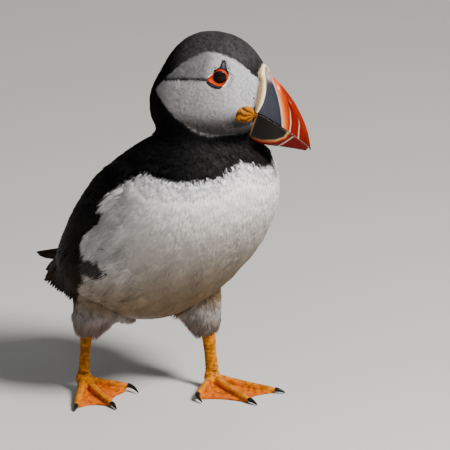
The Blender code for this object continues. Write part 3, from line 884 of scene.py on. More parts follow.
def vane_rows(middle, ups, width, rng):
    """Top and bottom rows of one stiff feather along a middle line."""
    share = np.linspace(0, 1, VANE_STEPS)
    ways = unit(np.gradient(middle, axis=0))
    sides = unit(np.cross(ups, ways))
    narrowing = np.clip((share - VANE_SHOULDER) / (1 - VANE_SHOULDER), 0, 1) ** 1.7
    swell = np.clip(share / 0.12, 0.35, 1) * (1 - narrowing) ** 0.6
    lateral = np.linspace(-1, 1, VANE_ACROSS)
    camber = -0.2 * width * lateral**2
    aside = 0.5 * width * swell[:, None] * lateral[None, :]
    centre = middle[:, None, :] + sides[:, None, :] * aside[..., None]
    centre = centre + ups[:, None, :] * (camber[None, :] * swell[:, None])[..., None]
    edge = np.clip(1.25 - np.abs(lateral), 0.4, 1)[None, :]
    body = VANE_THICKNESS * edge * np.clip(swell, 0.3, 1)[:, None]
    centre = centre + ups[:, None, :] * (rng.normal(0, 0.04, (VANE_STEPS, VANE_ACROSS)))[..., None]
    half = ups[:, None, :] * (body * 0.5)[..., None]
    return centre + half, centre - half


def vane_faces():
    """Faces of one closed vane: its top, then its underside."""
    top = np.arange(VANE_STEPS * VANE_ACROSS).reshape(VANE_STEPS, VANE_ACROSS)
    low = top + VANE_STEPS * VANE_ACROSS
    quads = []
    for i in range(VANE_STEPS - 1):
        for j in range(VANE_ACROSS - 1):
            quads.append((top[i, j], top[i, j + 1], top[i + 1, j + 1], top[i + 1, j]))
            quads.append((low[i, j], low[i + 1, j], low[i + 1, j + 1], low[i, j + 1]))
        quads.append((top[i, 0], top[i + 1, 0], low[i + 1, 0], low[i, 0]))
        quads.append((top[i, -1], low[i, -1], low[i + 1, -1], top[i + 1, -1]))
    for j in range(VANE_ACROSS - 1):
        quads.append((top[0, j], low[0, j], low[0, j + 1], top[0, j + 1]))
        quads.append((top[-1, j], top[-1, j + 1], low[-1, j + 1], low[-1, j]))
    return np.array(quads)


def vanes(ground, name, feathers, rng):
    """Joins stiff feathers: each is (middle line, ups, width, base colour, edge colour)."""
    faces = vane_faces()
    points, colours, uvs, quads = [], [], [], []
    anchors = ground.unwrapped(np.array([feather[0][0] for feather in feathers]))
    lateral = np.linspace(-1, 1, VANE_ACROSS)
    share = np.linspace(0, 1, VANE_STEPS)
    rim = np.clip(np.abs(lateral)[None, :] ** 3 + ramp(share, 0.86, 1.0)[:, None], 0, 1)
    patch = np.stack(np.broadcast_arrays(lateral[None, :] * 0.45, share[:, None] - 0.5), axis=-1) * PATCH
    for number, (middle, ups, width, base, edge) in enumerate(feathers):
        points += [rows.reshape(-1, 3) for rows in vane_rows(middle, ups, width, rng)]
        tint = mix(base, edge, rim) * rng.uniform(0.8, 1.2)
        colours += [tint.reshape(-1, 3)] * 2
        uvs += [(anchors[number] + patch).reshape(-1, 2)] * 2
        quads.append(faces + number * 2 * VANE_STEPS * VANE_ACROSS)
    points, colours, uvs = (np.concatenate(rows) for rows in (points, colours, uvs))
    dress(mesh_from_arrays(name, points, quads, colours, uvs), "vanes")


def laid_line(ground, start, length, turn, lift):
    """A middle line along the coat's lie, rising towards its tip, that runs straight on past an edge."""
    place, up = ground.nearest(np.array([start]))
    line, ups = [place[0]], [up[0]]
    stride, free = length / (VANE_STEPS - 1), False
    for _ in range(VANE_STEPS - 1):
        if not free:
            lie = feather_lie(place, up)
            lie = unit(lie - up * np.sum(lie * up, axis=1, keepdims=True))
            lie = lie * math.cos(turn) + np.cross(up, lie) * math.sin(turn)
        ahead = place + lie * stride
        below, below_up = ground.nearest(ahead)
        free = free or np.linalg.norm(below - ahead) > 0.45 * stride or (below_up[0] @ up[0]) < 0.6
        if free:
            place = ahead
        else:
            place, up = below, below_up
        line.append(place[0])
        ups.append(up[0])
    line, ups = np.array(line), unit(smoothed(np.array(ups)))
    rise = lift[0] + (lift[1] - lift[0]) * np.linspace(0, 1, VANE_STEPS) ** 0.7
    return smoothed(line) + ups * rise[:, None], ups


def smoothed(rows, times=2):
    """Rows drawn towards the middle of their neighbours, the first and last kept."""
    rows = rows.copy()
    for _ in range(times):
        rows[1:-1] = (rows[:-2] + 2 * rows[1:-1] + rows[2:]) / 4
    return rows


def resampled(table, count):
    """A table's columns read at evenly spaced places down its rows."""
    places = np.linspace(0, len(table) - 1, count)
    return np.stack([np.interp(places, range(len(table)), column) for column in np.array(table).T], axis=1)


# Wing coverts: lowest and highest root, spacing, length, width, lift of root and tip.
COVERTS = (
    (108.0, 134.0, 3.0, 9.0, 4.2, (0.5, 1.3)),
    (92.0, 110.0, 3.2, 12.0, 5.0, (0.5, 1.4)),
    (78.0, 94.0, 3.6, 16.0, 5.8, (0.5, 1.6)),
    (64.0, 80.0, 4.0, 20.0, 6.4, (0.5, 1.7)),
)
# Tips of the flight feathers of the left wing, from the innermost up to the longest.
FLIGHT_TIPS = (
    (26.5, 42.0, 46.0), (25.0, 46.0, 46.8), (23.8, 50.5, 47.2), (22.6, 55.0, 47.6), (21.4, 60.0, 48.0),
    (20.4, 65.0, 48.6), (19.6, 70.0, 49.4), (19.0, 74.5, 50.4), (20.0, 72.0, 53.0), (21.2, 68.5, 55.6),
    (22.4, 64.5, 58.2), (23.6, 60.0, 61.0),
)
FLIGHT_ROOT = np.array((9.0, -17.0, 23.0))  # how far outward, ahead and above its tip each root lies
FLIGHT_WIDTH = 7.0
FLIGHT_COUNT = 24
FLIGHT_LIFT = 0.2


def wing_roots(ground, side, rng):
    """Random places on one folded wing, from the shoulder down."""
    node = "wing_left" if side > 0 else "wing_right"
    places, normals, _ = ground.scatter(0.5, rng)
    outward = normals @ unit(np.array((side * 1.0, 0.55, 0.1)))
    mine = (places[:, 0] * side > 0) & (places[:, 2] < 136) & (body_angle(places) > 88) & (outward > 0.35)
    places = places[mine]
    places = places[near_nodes((node,), places, 2.6)]
    return places[np.argsort(0.6 * places[:, 1] - places[:, 2])]


def wing_shades(height):
    """A wing feather's middle and edge colours, browner low down."""
    brown = 1 - ramp(height, 55, 90)
    base = WING_BLACK + (WING_BROWN - WING_BLACK) * 0.3 * brown
    edge = WING_BLACK * 1.15 + (WING_BROWN - WING_BLACK) * (0.08 + 0.9 * brown)
    return base, edge


def wing_coverts(ground, side, rng):
    """Rows of overlapping feathers over the folded wing."""
    places = wing_roots(ground, side, rng)
    feathers = []
    for low, high, spacing, length, width, lift in COVERTS:
        row = places[(places[:, 2] >= low) & (places[:, 2] < high)]
        row = row[rng.permutation(len(row))]
        for root in row[thinned(row, spacing)]:
            line, ups = laid_line(ground, root, length * rng.uniform(0.9, 1.1), rng.normal(0, 0.08), lift)
            feathers.append((line, ups, width, *wing_shades(root[2])))
    return feathers


def flight_feathers(ground, side, rng):
    """The long feathers of one folded wing: their ends lie side by side from the flank to the tip."""
    mirror = np.array((side, 1, 1))
    share = np.linspace(0, 1, VANE_STEPS)[:, None]
    feathers = []
    for tip in resampled(FLIGHT_TIPS, FLIGHT_COUNT):
        tip = tip - unit(FLIGHT_ROOT) * rng.uniform(-1.4, 2.6)
        start, up = ground.nearest(((tip + FLIGHT_ROOT) * mirror)[None])
        line = start * (1 - share) + tip * mirror * share
        below, below_up = ground.nearest(line)
        under = np.sum((line - below) * below_up, axis=1)
        line = line + below_up * np.maximum(FLIGHT_LIFT + 0.9 * share[:, 0] - under, 0)[:, None]
        outward = unit(up + np.array((side * 0.5, 0.6, 0.2)))
        ups = unit(smoothed(mix(below_up, np.repeat(outward, VANE_STEPS, axis=0), share[:, 0])))
        width = FLIGHT_WIDTH * rng.uniform(0.8, 1.2)
        feathers.append((smoothed(line), ups, width, *wing_shades(tip[2] + 8)))
    return feathers


def make_wings(ground):
    """Coverts and flight feathers over each folded wing."""
    rng = np.random.default_rng(SEED + 1)
    for side, name in ((1, "left"), (-1, "right")):
        vanes(ground, f"wing_coverts_{name}", wing_coverts(ground, side, rng), rng)
        vanes(ground, f"flight_feathers_{name}", flight_feathers(ground, side, rng), rng)


TAIL_FEATHERS = 16
TAIL_WIDTH = 6.0


def make_tail(ground):
    """The tail's feathers in a closed, faintly arched fan, the outermost laid first."""
    rng = np.random.default_rng(SEED + 2)
    share = np.linspace(0, 1, VANE_STEPS)[:, None]
    base = WING_BLACK + (WING_BROWN - WING_BLACK) * 0.3
    feathers = []
    order = sorted(range(TAIL_FEATHERS), key=lambda i: -abs(i - (TAIL_FEATHERS - 1) / 2))
    for rank, i in enumerate(order):
        place = 2 * i / (TAIL_FEATHERS - 1) - 1
        root = np.array((6.0 * place, 50.0, 70.0 - 4.0 * abs(place)))
        tip = np.array((2.6 * place, 102.0 - 6.0 * abs(place), 56.4 - 0.6 * abs(place)))
        line = root * (1 - share) + tip * share + np.array((0, 0, 0.9)) * np.sin(np.pi * share)
        line = line + np.array((0, 0, 0.05 * rank)) * (1 - share)
        ups = np.repeat(unit(np.array((0.9 * place, 0.12, 1.0)))[None], VANE_STEPS, axis=0)
        feathers.append((line, ups, TAIL_WIDTH, base, WING_BROWN * 1.6))
    vanes(ground, "tail_feathers", feathers, rng)


# ---------------------------------------------------------------- bill


# The bill's ridge, the line of the mouth and the lower edge: forward and up on the head.
CULMEN = ((31.2, 12.2), (34.9, 7.2), (41.0, 1.4), (47.8, -7.6), (52.6, -17.3), (54.9, -24.5), (56.2, -32.8))
GAPE = (
    (28.2, -11.4), (31.4, -12.6), (36.4, -15.6), (41.0, -18.8), (45.6, -22.4), (49.8, -25.9), (54.9, -30.6),
)
GONYS = (
    (23.4, -26.4), (28.0, -29.8), (33.4, -30.8), (39.6, -31.2), (44.5, -31.6), (49.0, -32.1), (53.4, -32.7),
)
BILL_SEAT = ((31.6, 13.5), (28.0, -12.5), (22.0, -28.5))
ROSETTE = (23.4, -10.6)
ROSETTE_REACH = 4.2

SLATE = np.array((0.030, 0.032, 0.043))
SLATE_PALE_AND_HIGHLIGHT = np.array((0.26, 0.20, 0.18))
LOWER_SLATE = np.array((0.0052, 0.0043, 0.0037))
LOWER_TAN = np.array((0.15, 0.062, 0.022))
LOWER_CREAM = np.array((0.44, 0.22, 0.085))
LOWER_ROOT = np.array((0.26, 0.11, 0.03))
CREAM = np.array((0.58, 0.17, 0.022))
ORANGE = np.array((0.46, 0.042, 0.001))
RED = np.array((0.165, 0.0045, 0.0022))
RIDGE_RED = np.array((0.15, 0.0095, 0.0006))
DARK_RED = np.array((0.045, 0.002, 0.001))
PALE_LINE = np.array((0.66, 0.50, 0.42))
PLATE_RIM = np.array((0.38, 0.37, 0.42))
GAPE_DARK = np.array((0.012, 0.007, 0.006))
STRIP_TAN = np.array((0.21, 0.145, 0.080))
STRIP_CREAM = np.array((0.46, 0.33, 0.16))
STRIP_PALE = np.array((0.74, 0.62, 0.38))
MOUTH_TAN = np.array((0.10, 0.030, 0.008))
MOUTH_CREAM = np.array((0.42, 0.17, 0.045))
ROSETTE_BRIGHT = np.array((0.27, 0.090, 0.0001))
ROSETTE_FOLD_SHADE = np.array((0.040, 0.007, 0.0001))


def bill_seat_forward(up):
    """Where the bill starts at a height on the head."""
    rows = np.array(BILL_SEAT)[::-1]
    return np.interp(up, rows[:, 1], rows[:, 0])


def polyline_distance(points, line):
    """Distance from points to a polyline in the plane, and the share along it."""
    line = np.array(line, float)
    best, share = np.full(len(points), 1e9), np.zeros(len(points))
    lengths = np.linalg.norm(np.diff(line, axis=0), axis=1)
    total, gone = lengths.sum(), 0.0
    for a, b, length in zip(line, line[1:], lengths):
        t = np.clip(((points - a) @ (b - a)) / length**2, 0, 1)
        distance = np.linalg.norm(points - (a + t[:, None] * (b - a)), axis=1)
        closer = distance < best
        best = np.where(closer, distance, best)
        share = np.where(closer, (gone + t * length) / total, share)
        gone += length
    return best, share


def gap_to(line, points):
    """Distance from points to a polyline in the plane."""
    return polyline_distance(points, line)[0]


def side_of(points, line):
    """Above 0 where points lie ahead of a line drawn from top to bottom."""
    line = np.array(line, float)
    order = np.argsort(line[:, 1])
    return points[:, 0] - np.interp(points[:, 1], line[order, 1], line[order, 0])


# Upper bill, forward and up: where the slate plate ends, and the two grooves.
PLATE_EDGE = ((34.6, 7.6), (37.2, 3.0), (39.3, -3.0), (40.7, -9.0), (41.6, -15.0), (41.9, -19.6))
GROOVES = (
    ((41.6, 0.6), (44.2, -5.0), (45.7, -11.0), (46.2, -17.0), (45.6, -22.6)),
    ((47.6, -7.4), (49.6, -12.5), (50.5, -18.0), (50.0, -25.8)),
)
# Lower bill: the outline of the dark plate, and the groove.
LOWER_PLATE = ((42.6, -20.2), (43.9, -21.9), (42.2, -24.4), (37.6, -26.3), (31.0, -26.6), (25.2, -25.0))
LOWER_PLATE_END = 43.6
LOWER_GROOVE = ((47.2, -24.6), (43.4, -27.6), (39.0, -30.6))


def slate_colour(flat):
    """The slate plate: paler up at the forehead, darker low down, with faint wavy grain."""
    forward, up = flat.T
    slate = mix(SLATE * (1 - 0.35 * ramp(-up, 6, 20))[:, None], SLATE_PALE_AND_HIGHLIGHT, 0.7 * ramp(up, 2.5, 9.5))
    waves = np.sin(7.0 * (forward - 0.30 * up) + 1.6 * np.sin(0.7 * up))
    grain = waves * np.sin(2.6 * forward + 0.35 * up)
    return slate * (1 + 0.28 * grain)[:, None]


def red_colour(flat, ahead):
    """The orange band, shaded towards the first groove, and the red end with its warm ridge."""
    up = flat[:, 1]
    band = mix(CREAM, ORANGE, np.maximum(ramp(ahead, 0.7, 2.6), 0.9 * ramp(up, -2, 4)))
    past_groove = side_of(flat, GROOVES[0])
    _, along_groove = polyline_distance(flat, GROOVES[0])
    band = band * (1 - 0.45 * bell(past_groove + 0.9, 0.7) * ramp(along_groove, 0.1, 0.4))[:, None]
    red = mix(band, RED, ramp(past_groove, -0.6, 0.3) * ramp(ahead, 2.0, 3.6))
    ridge = 1 - ramp(gap_to(CULMEN, flat), 0.6, 3.0)
    red = mix(red, RIDGE_RED, 0.85 * ridge * ramp(ahead, 1.5, 3.0))
    return red * (1 - 0.5 * ramp(-up, 19, 31))[:, None]


def bill_upper_colour(flat):
    """Slate plate, its pale rim, an orange band and the grooved red end, with a painted highlight at the
    plate's top corner.
    """
    ahead, (forward, up) = side_of(flat, PLATE_EDGE), flat.T
    colour = mix(slate_colour(flat), red_colour(flat, ahead), ramp(ahead, -0.2, 0.2))
    for groove in GROOVES:
        gap, share = polyline_distance(flat, groove)
        behind = side_of(flat, groove) + 0.55
        colour = mix(colour, DARK_RED, 0.6 * bell(behind, 0.5) * ramp(share, 0.15, 0.5))
        colour = mix(colour, PALE_LINE, 0.85 * ramp(share, 0.35, 0.7) * bell(gap, 0.24))
    rim = bell(gap_to(PLATE_EDGE, flat), 0.26)
    colour = mix(colour, PLATE_RIM, 0.8 * rim * (1 - 0.7 * ramp(up, 0, 6)))
    lips = mix(GAPE_DARK, PALE_LINE * 0.8, ramp(forward, 41, 44))
    colour = mix(colour, lips, bell(gap_to(GAPE, flat), 0.33) * 0.9)
    # Painted highlight: a pale spot on the plate's top corner, by the ridge.
    return mix(colour, SLATE_PALE_AND_HIGHLIGHT, 0.6 * spot(forward - 33.6, 1.3, up - 8.4, 2.8))


def bill_lower_colour(flat):
    """Dark plate edged with cream and orange, and a grooved dark red end."""
    forward, up = flat.T
    under = read_curve(LOWER_PLATE[:0:-1], forward) - up
    outside = np.where((under > 0) | (forward > LOWER_PLATE_END), gap_to(LOWER_PLATE, flat), 0.0)
    plate = mix(LOWER_SLATE, LOWER_SLATE * 2.2, ramp(forward, 30, 40))
    border = mix(LOWER_TAN, LOWER_CREAM, ramp(forward, 30, 39))
    colour = mix(plate, border, ramp(outside, 0.0, 0.5))
    colour = mix(colour, ORANGE * 0.6, ramp(outside, 1.0, 1.7))
    colour = mix(colour, RED * 0.55, ramp(outside, 1.5, 2.6))
    colour = mix(colour, PALE_LINE, 0.7 * bell(gap_to(LOWER_GROOVE, flat), 0.28))
    colour = mix(colour, LOWER_ROOT, 1 - ramp(forward - bill_seat_forward(up), 0.8, 1.5))
    return mix(colour, GAPE_DARK, bell(gap_to(GAPE, flat), 0.45) * (1 - 0.7 * ramp(forward, 43, 46)))


def bill_upper_relief(flat):
    """How far the horn stands out: two grooves between ridges, and the sunk plate with its raised edge."""
    move = np.zeros(len(flat))
    for groove in GROOVES:
        gap, share = polyline_distance(flat, groove)
        move -= 0.34 * bell(gap, 0.55) * ramp(share, 0.05, 0.4)
        move += 0.14 * bell(gap - 1.3, 0.8)
    move += 0.20 * bell(gap_to(PLATE_EDGE, flat), 0.5)
    on_plate = 1 - ramp(side_of(flat, PLATE_EDGE), -1.6, -0.4)
    return move - 0.22 * on_plate * ramp(flat[:, 0], 31, 34)


def bill_lower_relief(flat):
    return 0.22 * bell(gap_to(LOWER_PLATE, flat), 0.6) - 0.25 * bell(gap_to(LOWER_GROOVE, flat), 0.5)


# The halves of the bill: node, colours, relief and finish.
BILL_HALVES = (
    ("bill_upper", bill_upper_colour, bill_upper_relief, "horn"),
    ("bill_lower", bill_lower_colour, bill_lower_relief, "lower_horn"),
)


def make_bill():
    """The two halves of the bill with their plates, ridges and grooves."""
    for node, colour_of, relief_of, finish in BILL_HALVES:
        piece = fused((node,), node + "_horn", growth=0.0, voxel=0.33, smoothing=3)
        points, normals = surface_of(piece.data)
        flat = to_head(points)[:, [0, 2]]
        sideways = np.abs(normals @ LEFT)
        move_points(piece, points + normals * (relief_of(flat) * sideways)[:, None])
        paint(piece.data, colour_of(flat), "horn")
        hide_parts(node)
        dress(piece, finish)


def ring_quads(ring, turned):
    """Faces between neighbouring rings of points; turned holds the same rings moved on by one."""
    return np.stack([ring[:-1], turned[:-1], turned[1:], ring[1:]], axis=-1).reshape(-1, 4)


def swept_band(name, path, half_sizes, outward, colour_across, finish, segments):
    """A soft strip along a path of the head; colour_across goes from its rear edge, -1, to its front, 1."""
    ways = unit(np.gradient(path, axis=0))
    ups = unit(outward - ways * np.sum(outward * ways, axis=1, keepdims=True))
    sides = np.cross(ways, ups)
    angle = np.linspace(0, 2 * np.pi, segments, endpoint=False)
    rings = []
    for centre, up, side, (wide, tall) in zip(path, ups, sides, half_sizes):
        rings.append(centre + side * (wide * np.cos(angle))[:, None] + up * (tall * np.sin(angle))[:, None])
    points = from_head(np.concatenate(rings + [path[:1], path[-1:]]))
    count = len(path)
    ring = np.arange(count * segments).reshape(count, segments)
    turned = np.roll(ring, -1, axis=1)
    first = np.stack([ring[0], np.full(segments, count * segments), turned[0]], axis=-1)
    last = np.stack([ring[-1], turned[-1], np.full(segments, count * segments + 1)], axis=-1)
    piece = mesh_from_arrays(name, points, [ring_quads(ring, turned), first, last])
    place = np.concatenate([np.tile(np.cos(angle), count), (0.0, 0.0)])
    paint(piece.data, colour_across(place), "horn")
    edit_all(piece, face_outward)
    dress(piece, finish)


# The fleshy strip round the root of the upper bill: forward, up and half width, from the gape to the ridge.
STRIP = (
    (28.2, -13.0, 0.7), (28.8, -9.6, 2.2), (30.2, -4.0, 2.6), (30.8, 1.5, 2.5), (30.6, 6.5, 2.6),
    (29.8, 10.2, 2.6),
)
STRIP_STEPS = 22
ARCH = (-1.8, -0.9, 0.0, 0.9, 1.8)  # the strip's places over the ridge, left of the middle

# The bare edge of the mouth, from the corner down the root of the lower bill: forward, up and half width.
MOUTH_EDGE = (
    (28.9, -10.2, 0.15), (28.6, -11.4, 0.6), (28.1, -12.6, 0.8), (27.5, -14.0, 0.75), (26.8, -15.6, 0.6),
    (26.1, -17.4, 0.5), (25.3, -19.4, 0.45), (24.6, -21.4, 0.4), (23.9, -23.6, 0.35), (23.2, -25.8, 0.15),
)


def side_place(tree_list, forward, up, side):
    """The outermost place on some surfaces straight in from one side of the head."""
    start = Vector(from_head(np.array((forward, side * 40.0, up))))
    hits = [tree.ray_cast(start, Vector(-side * LEFT)) for tree in tree_list]
    hits = [hit for hit in hits if hit[0] is not None]
    return to_head(np.array(min(hits, key=lambda hit: hit[3])[0])) if hits else None


def side_path(tree_list, rows, side):
    """Rows of forward, up and half width that meet the surfaces: their places, and their half widths."""
    found = [(side_place(tree_list, forward, up, side), wide) for forward, up, wide in rows]
    found = [(place, wide) for place, wide in found if place is not None]
    return np.array([place for place, _ in found]), np.array([wide for _, wide in found])


def make_bill_strip(tree_list):
    """The fleshy cream strip, from one side of the upper bill's root over the ridge to the other."""
    rows = smoothed(resampled(STRIP, STRIP_STEPS))
    left, right = (side_path(tree_list, rows, side)[0] for side in (1, -1))
    arch = np.array([(29.3, y, 13.0 - 0.12 * y * y) for y in ARCH])
    path = smoothed(np.concatenate([right, arch, left[::-1]]), 4)
    share = np.abs(np.linspace(-1, 1, len(path)))
    wide = np.interp(1 - share, np.linspace(0, 1, len(STRIP)), np.array(STRIP)[:, 2])
    tall = 0.95 - 0.55 * ramp(share, 0.8, 1.0)
    upward = bell(path[:, 1], 3.5)
    outward = np.stack([0.28 + 0 * share, np.sign(path[:, 1]) * (1 - upward), upward], axis=1)
    swept_band("bill_base_strip", path, np.stack([wide, tall], 1), outward, strip_colour, "strip", 16)


def make_bill_base():
    """The fleshy strip round the upper bill's root, and the bare edges of the mouth."""
    bill_and_head = [surface_tree(node_mesh(node)) for node in ("bill_upper", "head", "bill_lower")]
    make_bill_strip(bill_and_head[:2])
    for side, label in ((1, "left"), (-1, "right")):
        line, wide = side_path(bill_and_head, MOUTH_EDGE, side)
        sizes = np.stack([wide, 0.3 + 0.3 * wide], axis=1)
        outward = np.tile(np.array((0.0, side, 0.0)), (len(line), 1))
        swept_band("mouth_edge_" + label, smoothed(line), sizes, outward, mouth_colour, "rosette", 10)


def strip_colour(place):
    """Tan behind, cream ahead, with a bright ridge between its middle and its front edge."""
    return mix(mix(STRIP_TAN, STRIP_CREAM, ramp(place, 0.0, 0.45)), STRIP_PALE, bell(place - 0.72, 0.25))


def mouth_colour(place):
    return mix(MOUTH_TAN, MOUTH_CREAM, ramp(place, -0.5, 0.6))


def make_rosettes():
    """Wrinkled yellow skin at the corners of the mouth."""
    for side, node in ((1, "rosette_left"), (-1, "rosette_right")):
        piece = fused((node,), node + "_skin", growth=0.25, voxel=0.3, smoothing=3)
        points, normals = surface_of(piece.data)
        head = to_head(points)
        ahead = head[:, 0] - ROSETTE[0]
        above = head[:, 2] - ROSETTE[1] + 0.16 * ahead
        rim = np.hypot(ahead / 5.4, above / 4.5)
        fan = np.arctan2(above, 6.0 - ahead)
        wrinkles = 0.35 * np.sin(2.3 * ahead + 1.9 * above) * np.sin(1.1 * ahead - 0.6)
        folds = np.cos(12.0 * fan + 0.7 * np.sin(1.2 * ahead + 0.5)) + wrinkles
        inner = 1 - ramp(rim, 0.82, 0.98)
        swell = 0.26 * bell(rim - 0.86, 0.12) - 0.24 * inner * folds * (1 - 0.3 * rim)
        outer = np.clip(side * (normals @ LEFT), 0, 1)
        move_points(piece, points + normals * (swell * outer)[:, None])
        # Painted shade: the skin darkens in its sunk folds.
        colour = mix(ROSETTE_BRIGHT, ROSETTE_FOLD_SHADE, np.clip(0.62 * inner * (0.55 + folds), 0, 0.9))
        paint(piece.data, colour, "horn")
        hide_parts(node)
        dress(piece, "rosette")


# ---------------------------------------------------------------- eyes


# Round the eye, forward and up from its middle: the bare orange rim and the two horny plates.
EYE_RIM = (
    (-6.5, -2.0), (-3.6, 0.9), (-0.5, 3.6), (2.6, 3.1), (4.3, 0.6), (4.1, -2.1), (1.5, -5.2), (-2.4, -4.3),
)
UPPER_PLATE = ((-0.4, 3.0), (3.3, 2.5), (3.2, 4.8), (2.4, 7.3), (0.7, 7.6), (0.0, 5.0))
LOWER_BAR = (
    (-7.2, -3.0), (-5.4, -2.9), (-1.9, -4.5), (1.3, -5.2), (1.2, -6.6), (0.2, -6.9), (-1.8, -6.3),
    (-4.8, -4.8),
)
EYE_OPENING = 3.5
OPENING_MIDDLE = np.array((0.25, -0.5))
RIM_POINTS, RIM_RINGS, RIM_DEPTH = 64, 10, 1.8
PLATE_POINTS, PLATE_RINGS, PLATE_DEPTH = 36, 6, 1.5
PATCH_SEAT = 0.45  # how far the edges of the rim and plates are sunk in the plumage
HEAD_COAT = 0.85  # how far the tips of the head's feathers stand over its skin
RIM_ORANGE = np.array((0.30, 0.018, 0.0005))
RIM_YELLOW = np.array((0.42, 0.085, 0.001))
PLATE_DARK = np.array((0.005, 0.005, 0.006))
PLATE_SLATE = np.array((0.022, 0.025, 0.033))


def closed_curve(corners, count):
    """A smooth closed outline through corners."""
    corners = np.array(corners, float)
    total = len(corners)
    out = []
    for place in np.linspace(0, total, count, endpoint=False):
        i, t = int(place), place - int(place)
        a, b, c, d = (corners[(i + k) % total] for k in (-1, 0, 1, 2))
        square, cube = 2 * a - 5 * b + 4 * c - d, 3 * b - a - 3 * c + d
        out.append(0.5 * (2 * b + (c - a) * t + square * t**2 + cube * t**3))
    return np.array(out)


def cheek_form(ground, side):
    """The smooth form of the plumage round the eye: how far out it lies, by forward and up from the eye."""
    head = to_head(ground.points)
    flat = head[:, [0, 2]] - EYE_PLACE
    reach = np.hypot(*flat.T)
    ring = (reach > 7.0) & (reach < 10.0) & (head[:, 1] * side > 8)
    weights = np.linalg.lstsq(form_terms(flat[ring]), np.abs(head[ring, 1]), rcond=None)[0]
    return lambda flat: form_terms(flat) @ weights + HEAD_COAT


def form_terms(flat):
    x, y = flat[:, 0], flat[:, 1]
    return np.stack([np.ones(len(flat)), x, y, x * x, x * y, y * y], axis=1)


def disc_patch(name, rows, colours, side, closed_middle, depth):
    """A thin closed patch on the side of the head from rings of (forward, out, up), outside first."""
    rings, count = len(rows), len(rows[0])
    top = np.array(rows).reshape(-1, 3)
    head = np.concatenate([top, top - np.array((0, depth, 0))])
    head[:, 1] *= side
    grid = np.arange(rings * count).reshape(rings, count)
    turned = np.roll(grid, -1, axis=1)
    low, low_turned = grid + rings * count, turned + rings * count
    upper = ring_quads(grid, turned)
    outer = np.stack([grid[0], low[0], low_turned[0], turned[0]], axis=-1)
    faces = [upper, (upper + rings * count)[:, ::-1], outer]
    if not closed_middle:
        faces.append(np.stack([grid[-1], turned[-1], low_turned[-1], low[-1]], axis=-1))
    piece = mesh_from_arrays(name, from_head(head), faces)
    paint(piece.data, np.concatenate([np.array(colours).reshape(-1, 3)] * 2), "horn")
    edit_all(piece, merge_doubles(PATCH_WELD), face_outward)
    return piece


def by_bearing(outline):
    """An outline's points in order round the eye, one for each of some even bearings."""
    bearing = np.arctan2(outline[:, 1], outline[:, 0])
    order = np.argsort(bearing)
    bearing, radius = bearing[order], np.linalg.norm(outline, axis=1)[order]
    even = np.linspace(-np.pi, np.pi, RIM_POINTS, endpoint=False)
    reach = np.interp(even, bearing, radius, period=2 * np.pi)
    return np.stack([np.cos(even), np.sin(even)], axis=1) * reach[:, None]


def placed_out(flat, out):
    """Points of (forward, out, up) from places round the eye and how far out they lie."""
    place = flat + EYE_PLACE
    return np.stack([place[:, 0], out, place[:, 1]], axis=1)


def make_eye_rim(form, side, label, ball):
    """The bare orange rim: it rises from the feathers, then turns in and meets the eye."""
    outer = by_bearing(closed_curve(EYE_RIM, 200) - OPENING_MIDDLE)
    inner = unit(outer) * EYE_OPENING + OPENING_MIDDLE
    outer = outer + OPENING_MIDDLE
    rows, colours = [], []
    for share in np.linspace(0, 1, RIM_RINGS):
        flat = outer * (1 - share) + inner * share
        free = form(flat) - PATCH_SEAT + 0.75 * math.sin(math.pi * min(share * 1.15, 1.0) ** 0.6)
        on_ball = ball + np.sqrt(np.maximum(EYE_RADIUS**2 - (flat**2).sum(axis=1), 0)) + 0.07
        out = free + (on_ball - free) * ramp(share, 0.45, 1.0)
        rows.append(placed_out(flat, np.maximum(out, on_ball + 0.2 * math.sin(math.pi * share))))
        glow = ramp(share, 0.62, 0.95) * ramp(-flat[:, 1], -1.0, 2.0)
        colours.append(mix(RIM_ORANGE, RIM_YELLOW, glow))
    rim = disc_patch("eye_rim_" + label, rows, colours, side, closed_middle=False, depth=RIM_DEPTH)
    dress(rim, "rim")


# The plates beside each eye: outline, height, and how bright the slate of its crown is.
EYE_PLATES = {"upper": (UPPER_PLATE, 1.3, 1.0), "lower": (LOWER_BAR, 0.95, 0.35)}


def make_eye_plates(form, side, label):
    """The horny plates beside the eye, highest along their middles."""
    for kind, (outline, height, brightness) in EYE_PLATES.items():
        edge = closed_curve(outline, PLATE_POINTS)
        middle = edge.mean(axis=0)
        crown = PLATE_SLATE * brightness
        rows, colours = [], []
        for share in np.linspace(0, 1, PLATE_RINGS):
            flat = middle + (edge - middle) * (1 - share)
            out = form(flat) - PATCH_SEAT + height * math.sin(math.pi / 2 * share) ** 0.5
            rows.append(placed_out(flat, out))
            colours.append(np.repeat((PLATE_DARK + (crown - PLATE_DARK) * share)[None], PLATE_POINTS, 0))
        name = f"eye_plate_{kind}_{label}"
        dress(disc_patch(name, rows, colours, side, closed_middle=True, depth=PLATE_DEPTH), "plate")


def make_eyes(ground):
    """Dark eyes in an orange rim, with the horny plate above each and the bar below it."""
    for side, label in ((1, "left"), (-1, "right")):
        box = np.array(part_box("eye_" + label), float)
        centre = box.mean(axis=0) + LEFT * (side * EYE_SHIFT * MM)
        radius = EYE_RADIUS * MM
        bpy.ops.mesh.primitive_uv_sphere_add(segments=64, ring_count=40, radius=radius, location=centre)
        eye = bpy.context.object
        bpy.ops.object.transform_apply(location=True, rotation=False, scale=False)
        eye.name = "eyeball_" + label
        eye.data.shade_smooth()
        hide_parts("eye_" + label)
        dress(eye, "eye")
        ball = abs(to_head(to_bird(centre[None]))[0, 1])
        form = cheek_form(ground, side)
        make_eye_rim(form, side, label, ball)
        make_eye_plates(form, side, label)


# ---------------------------------------------------------------- legs


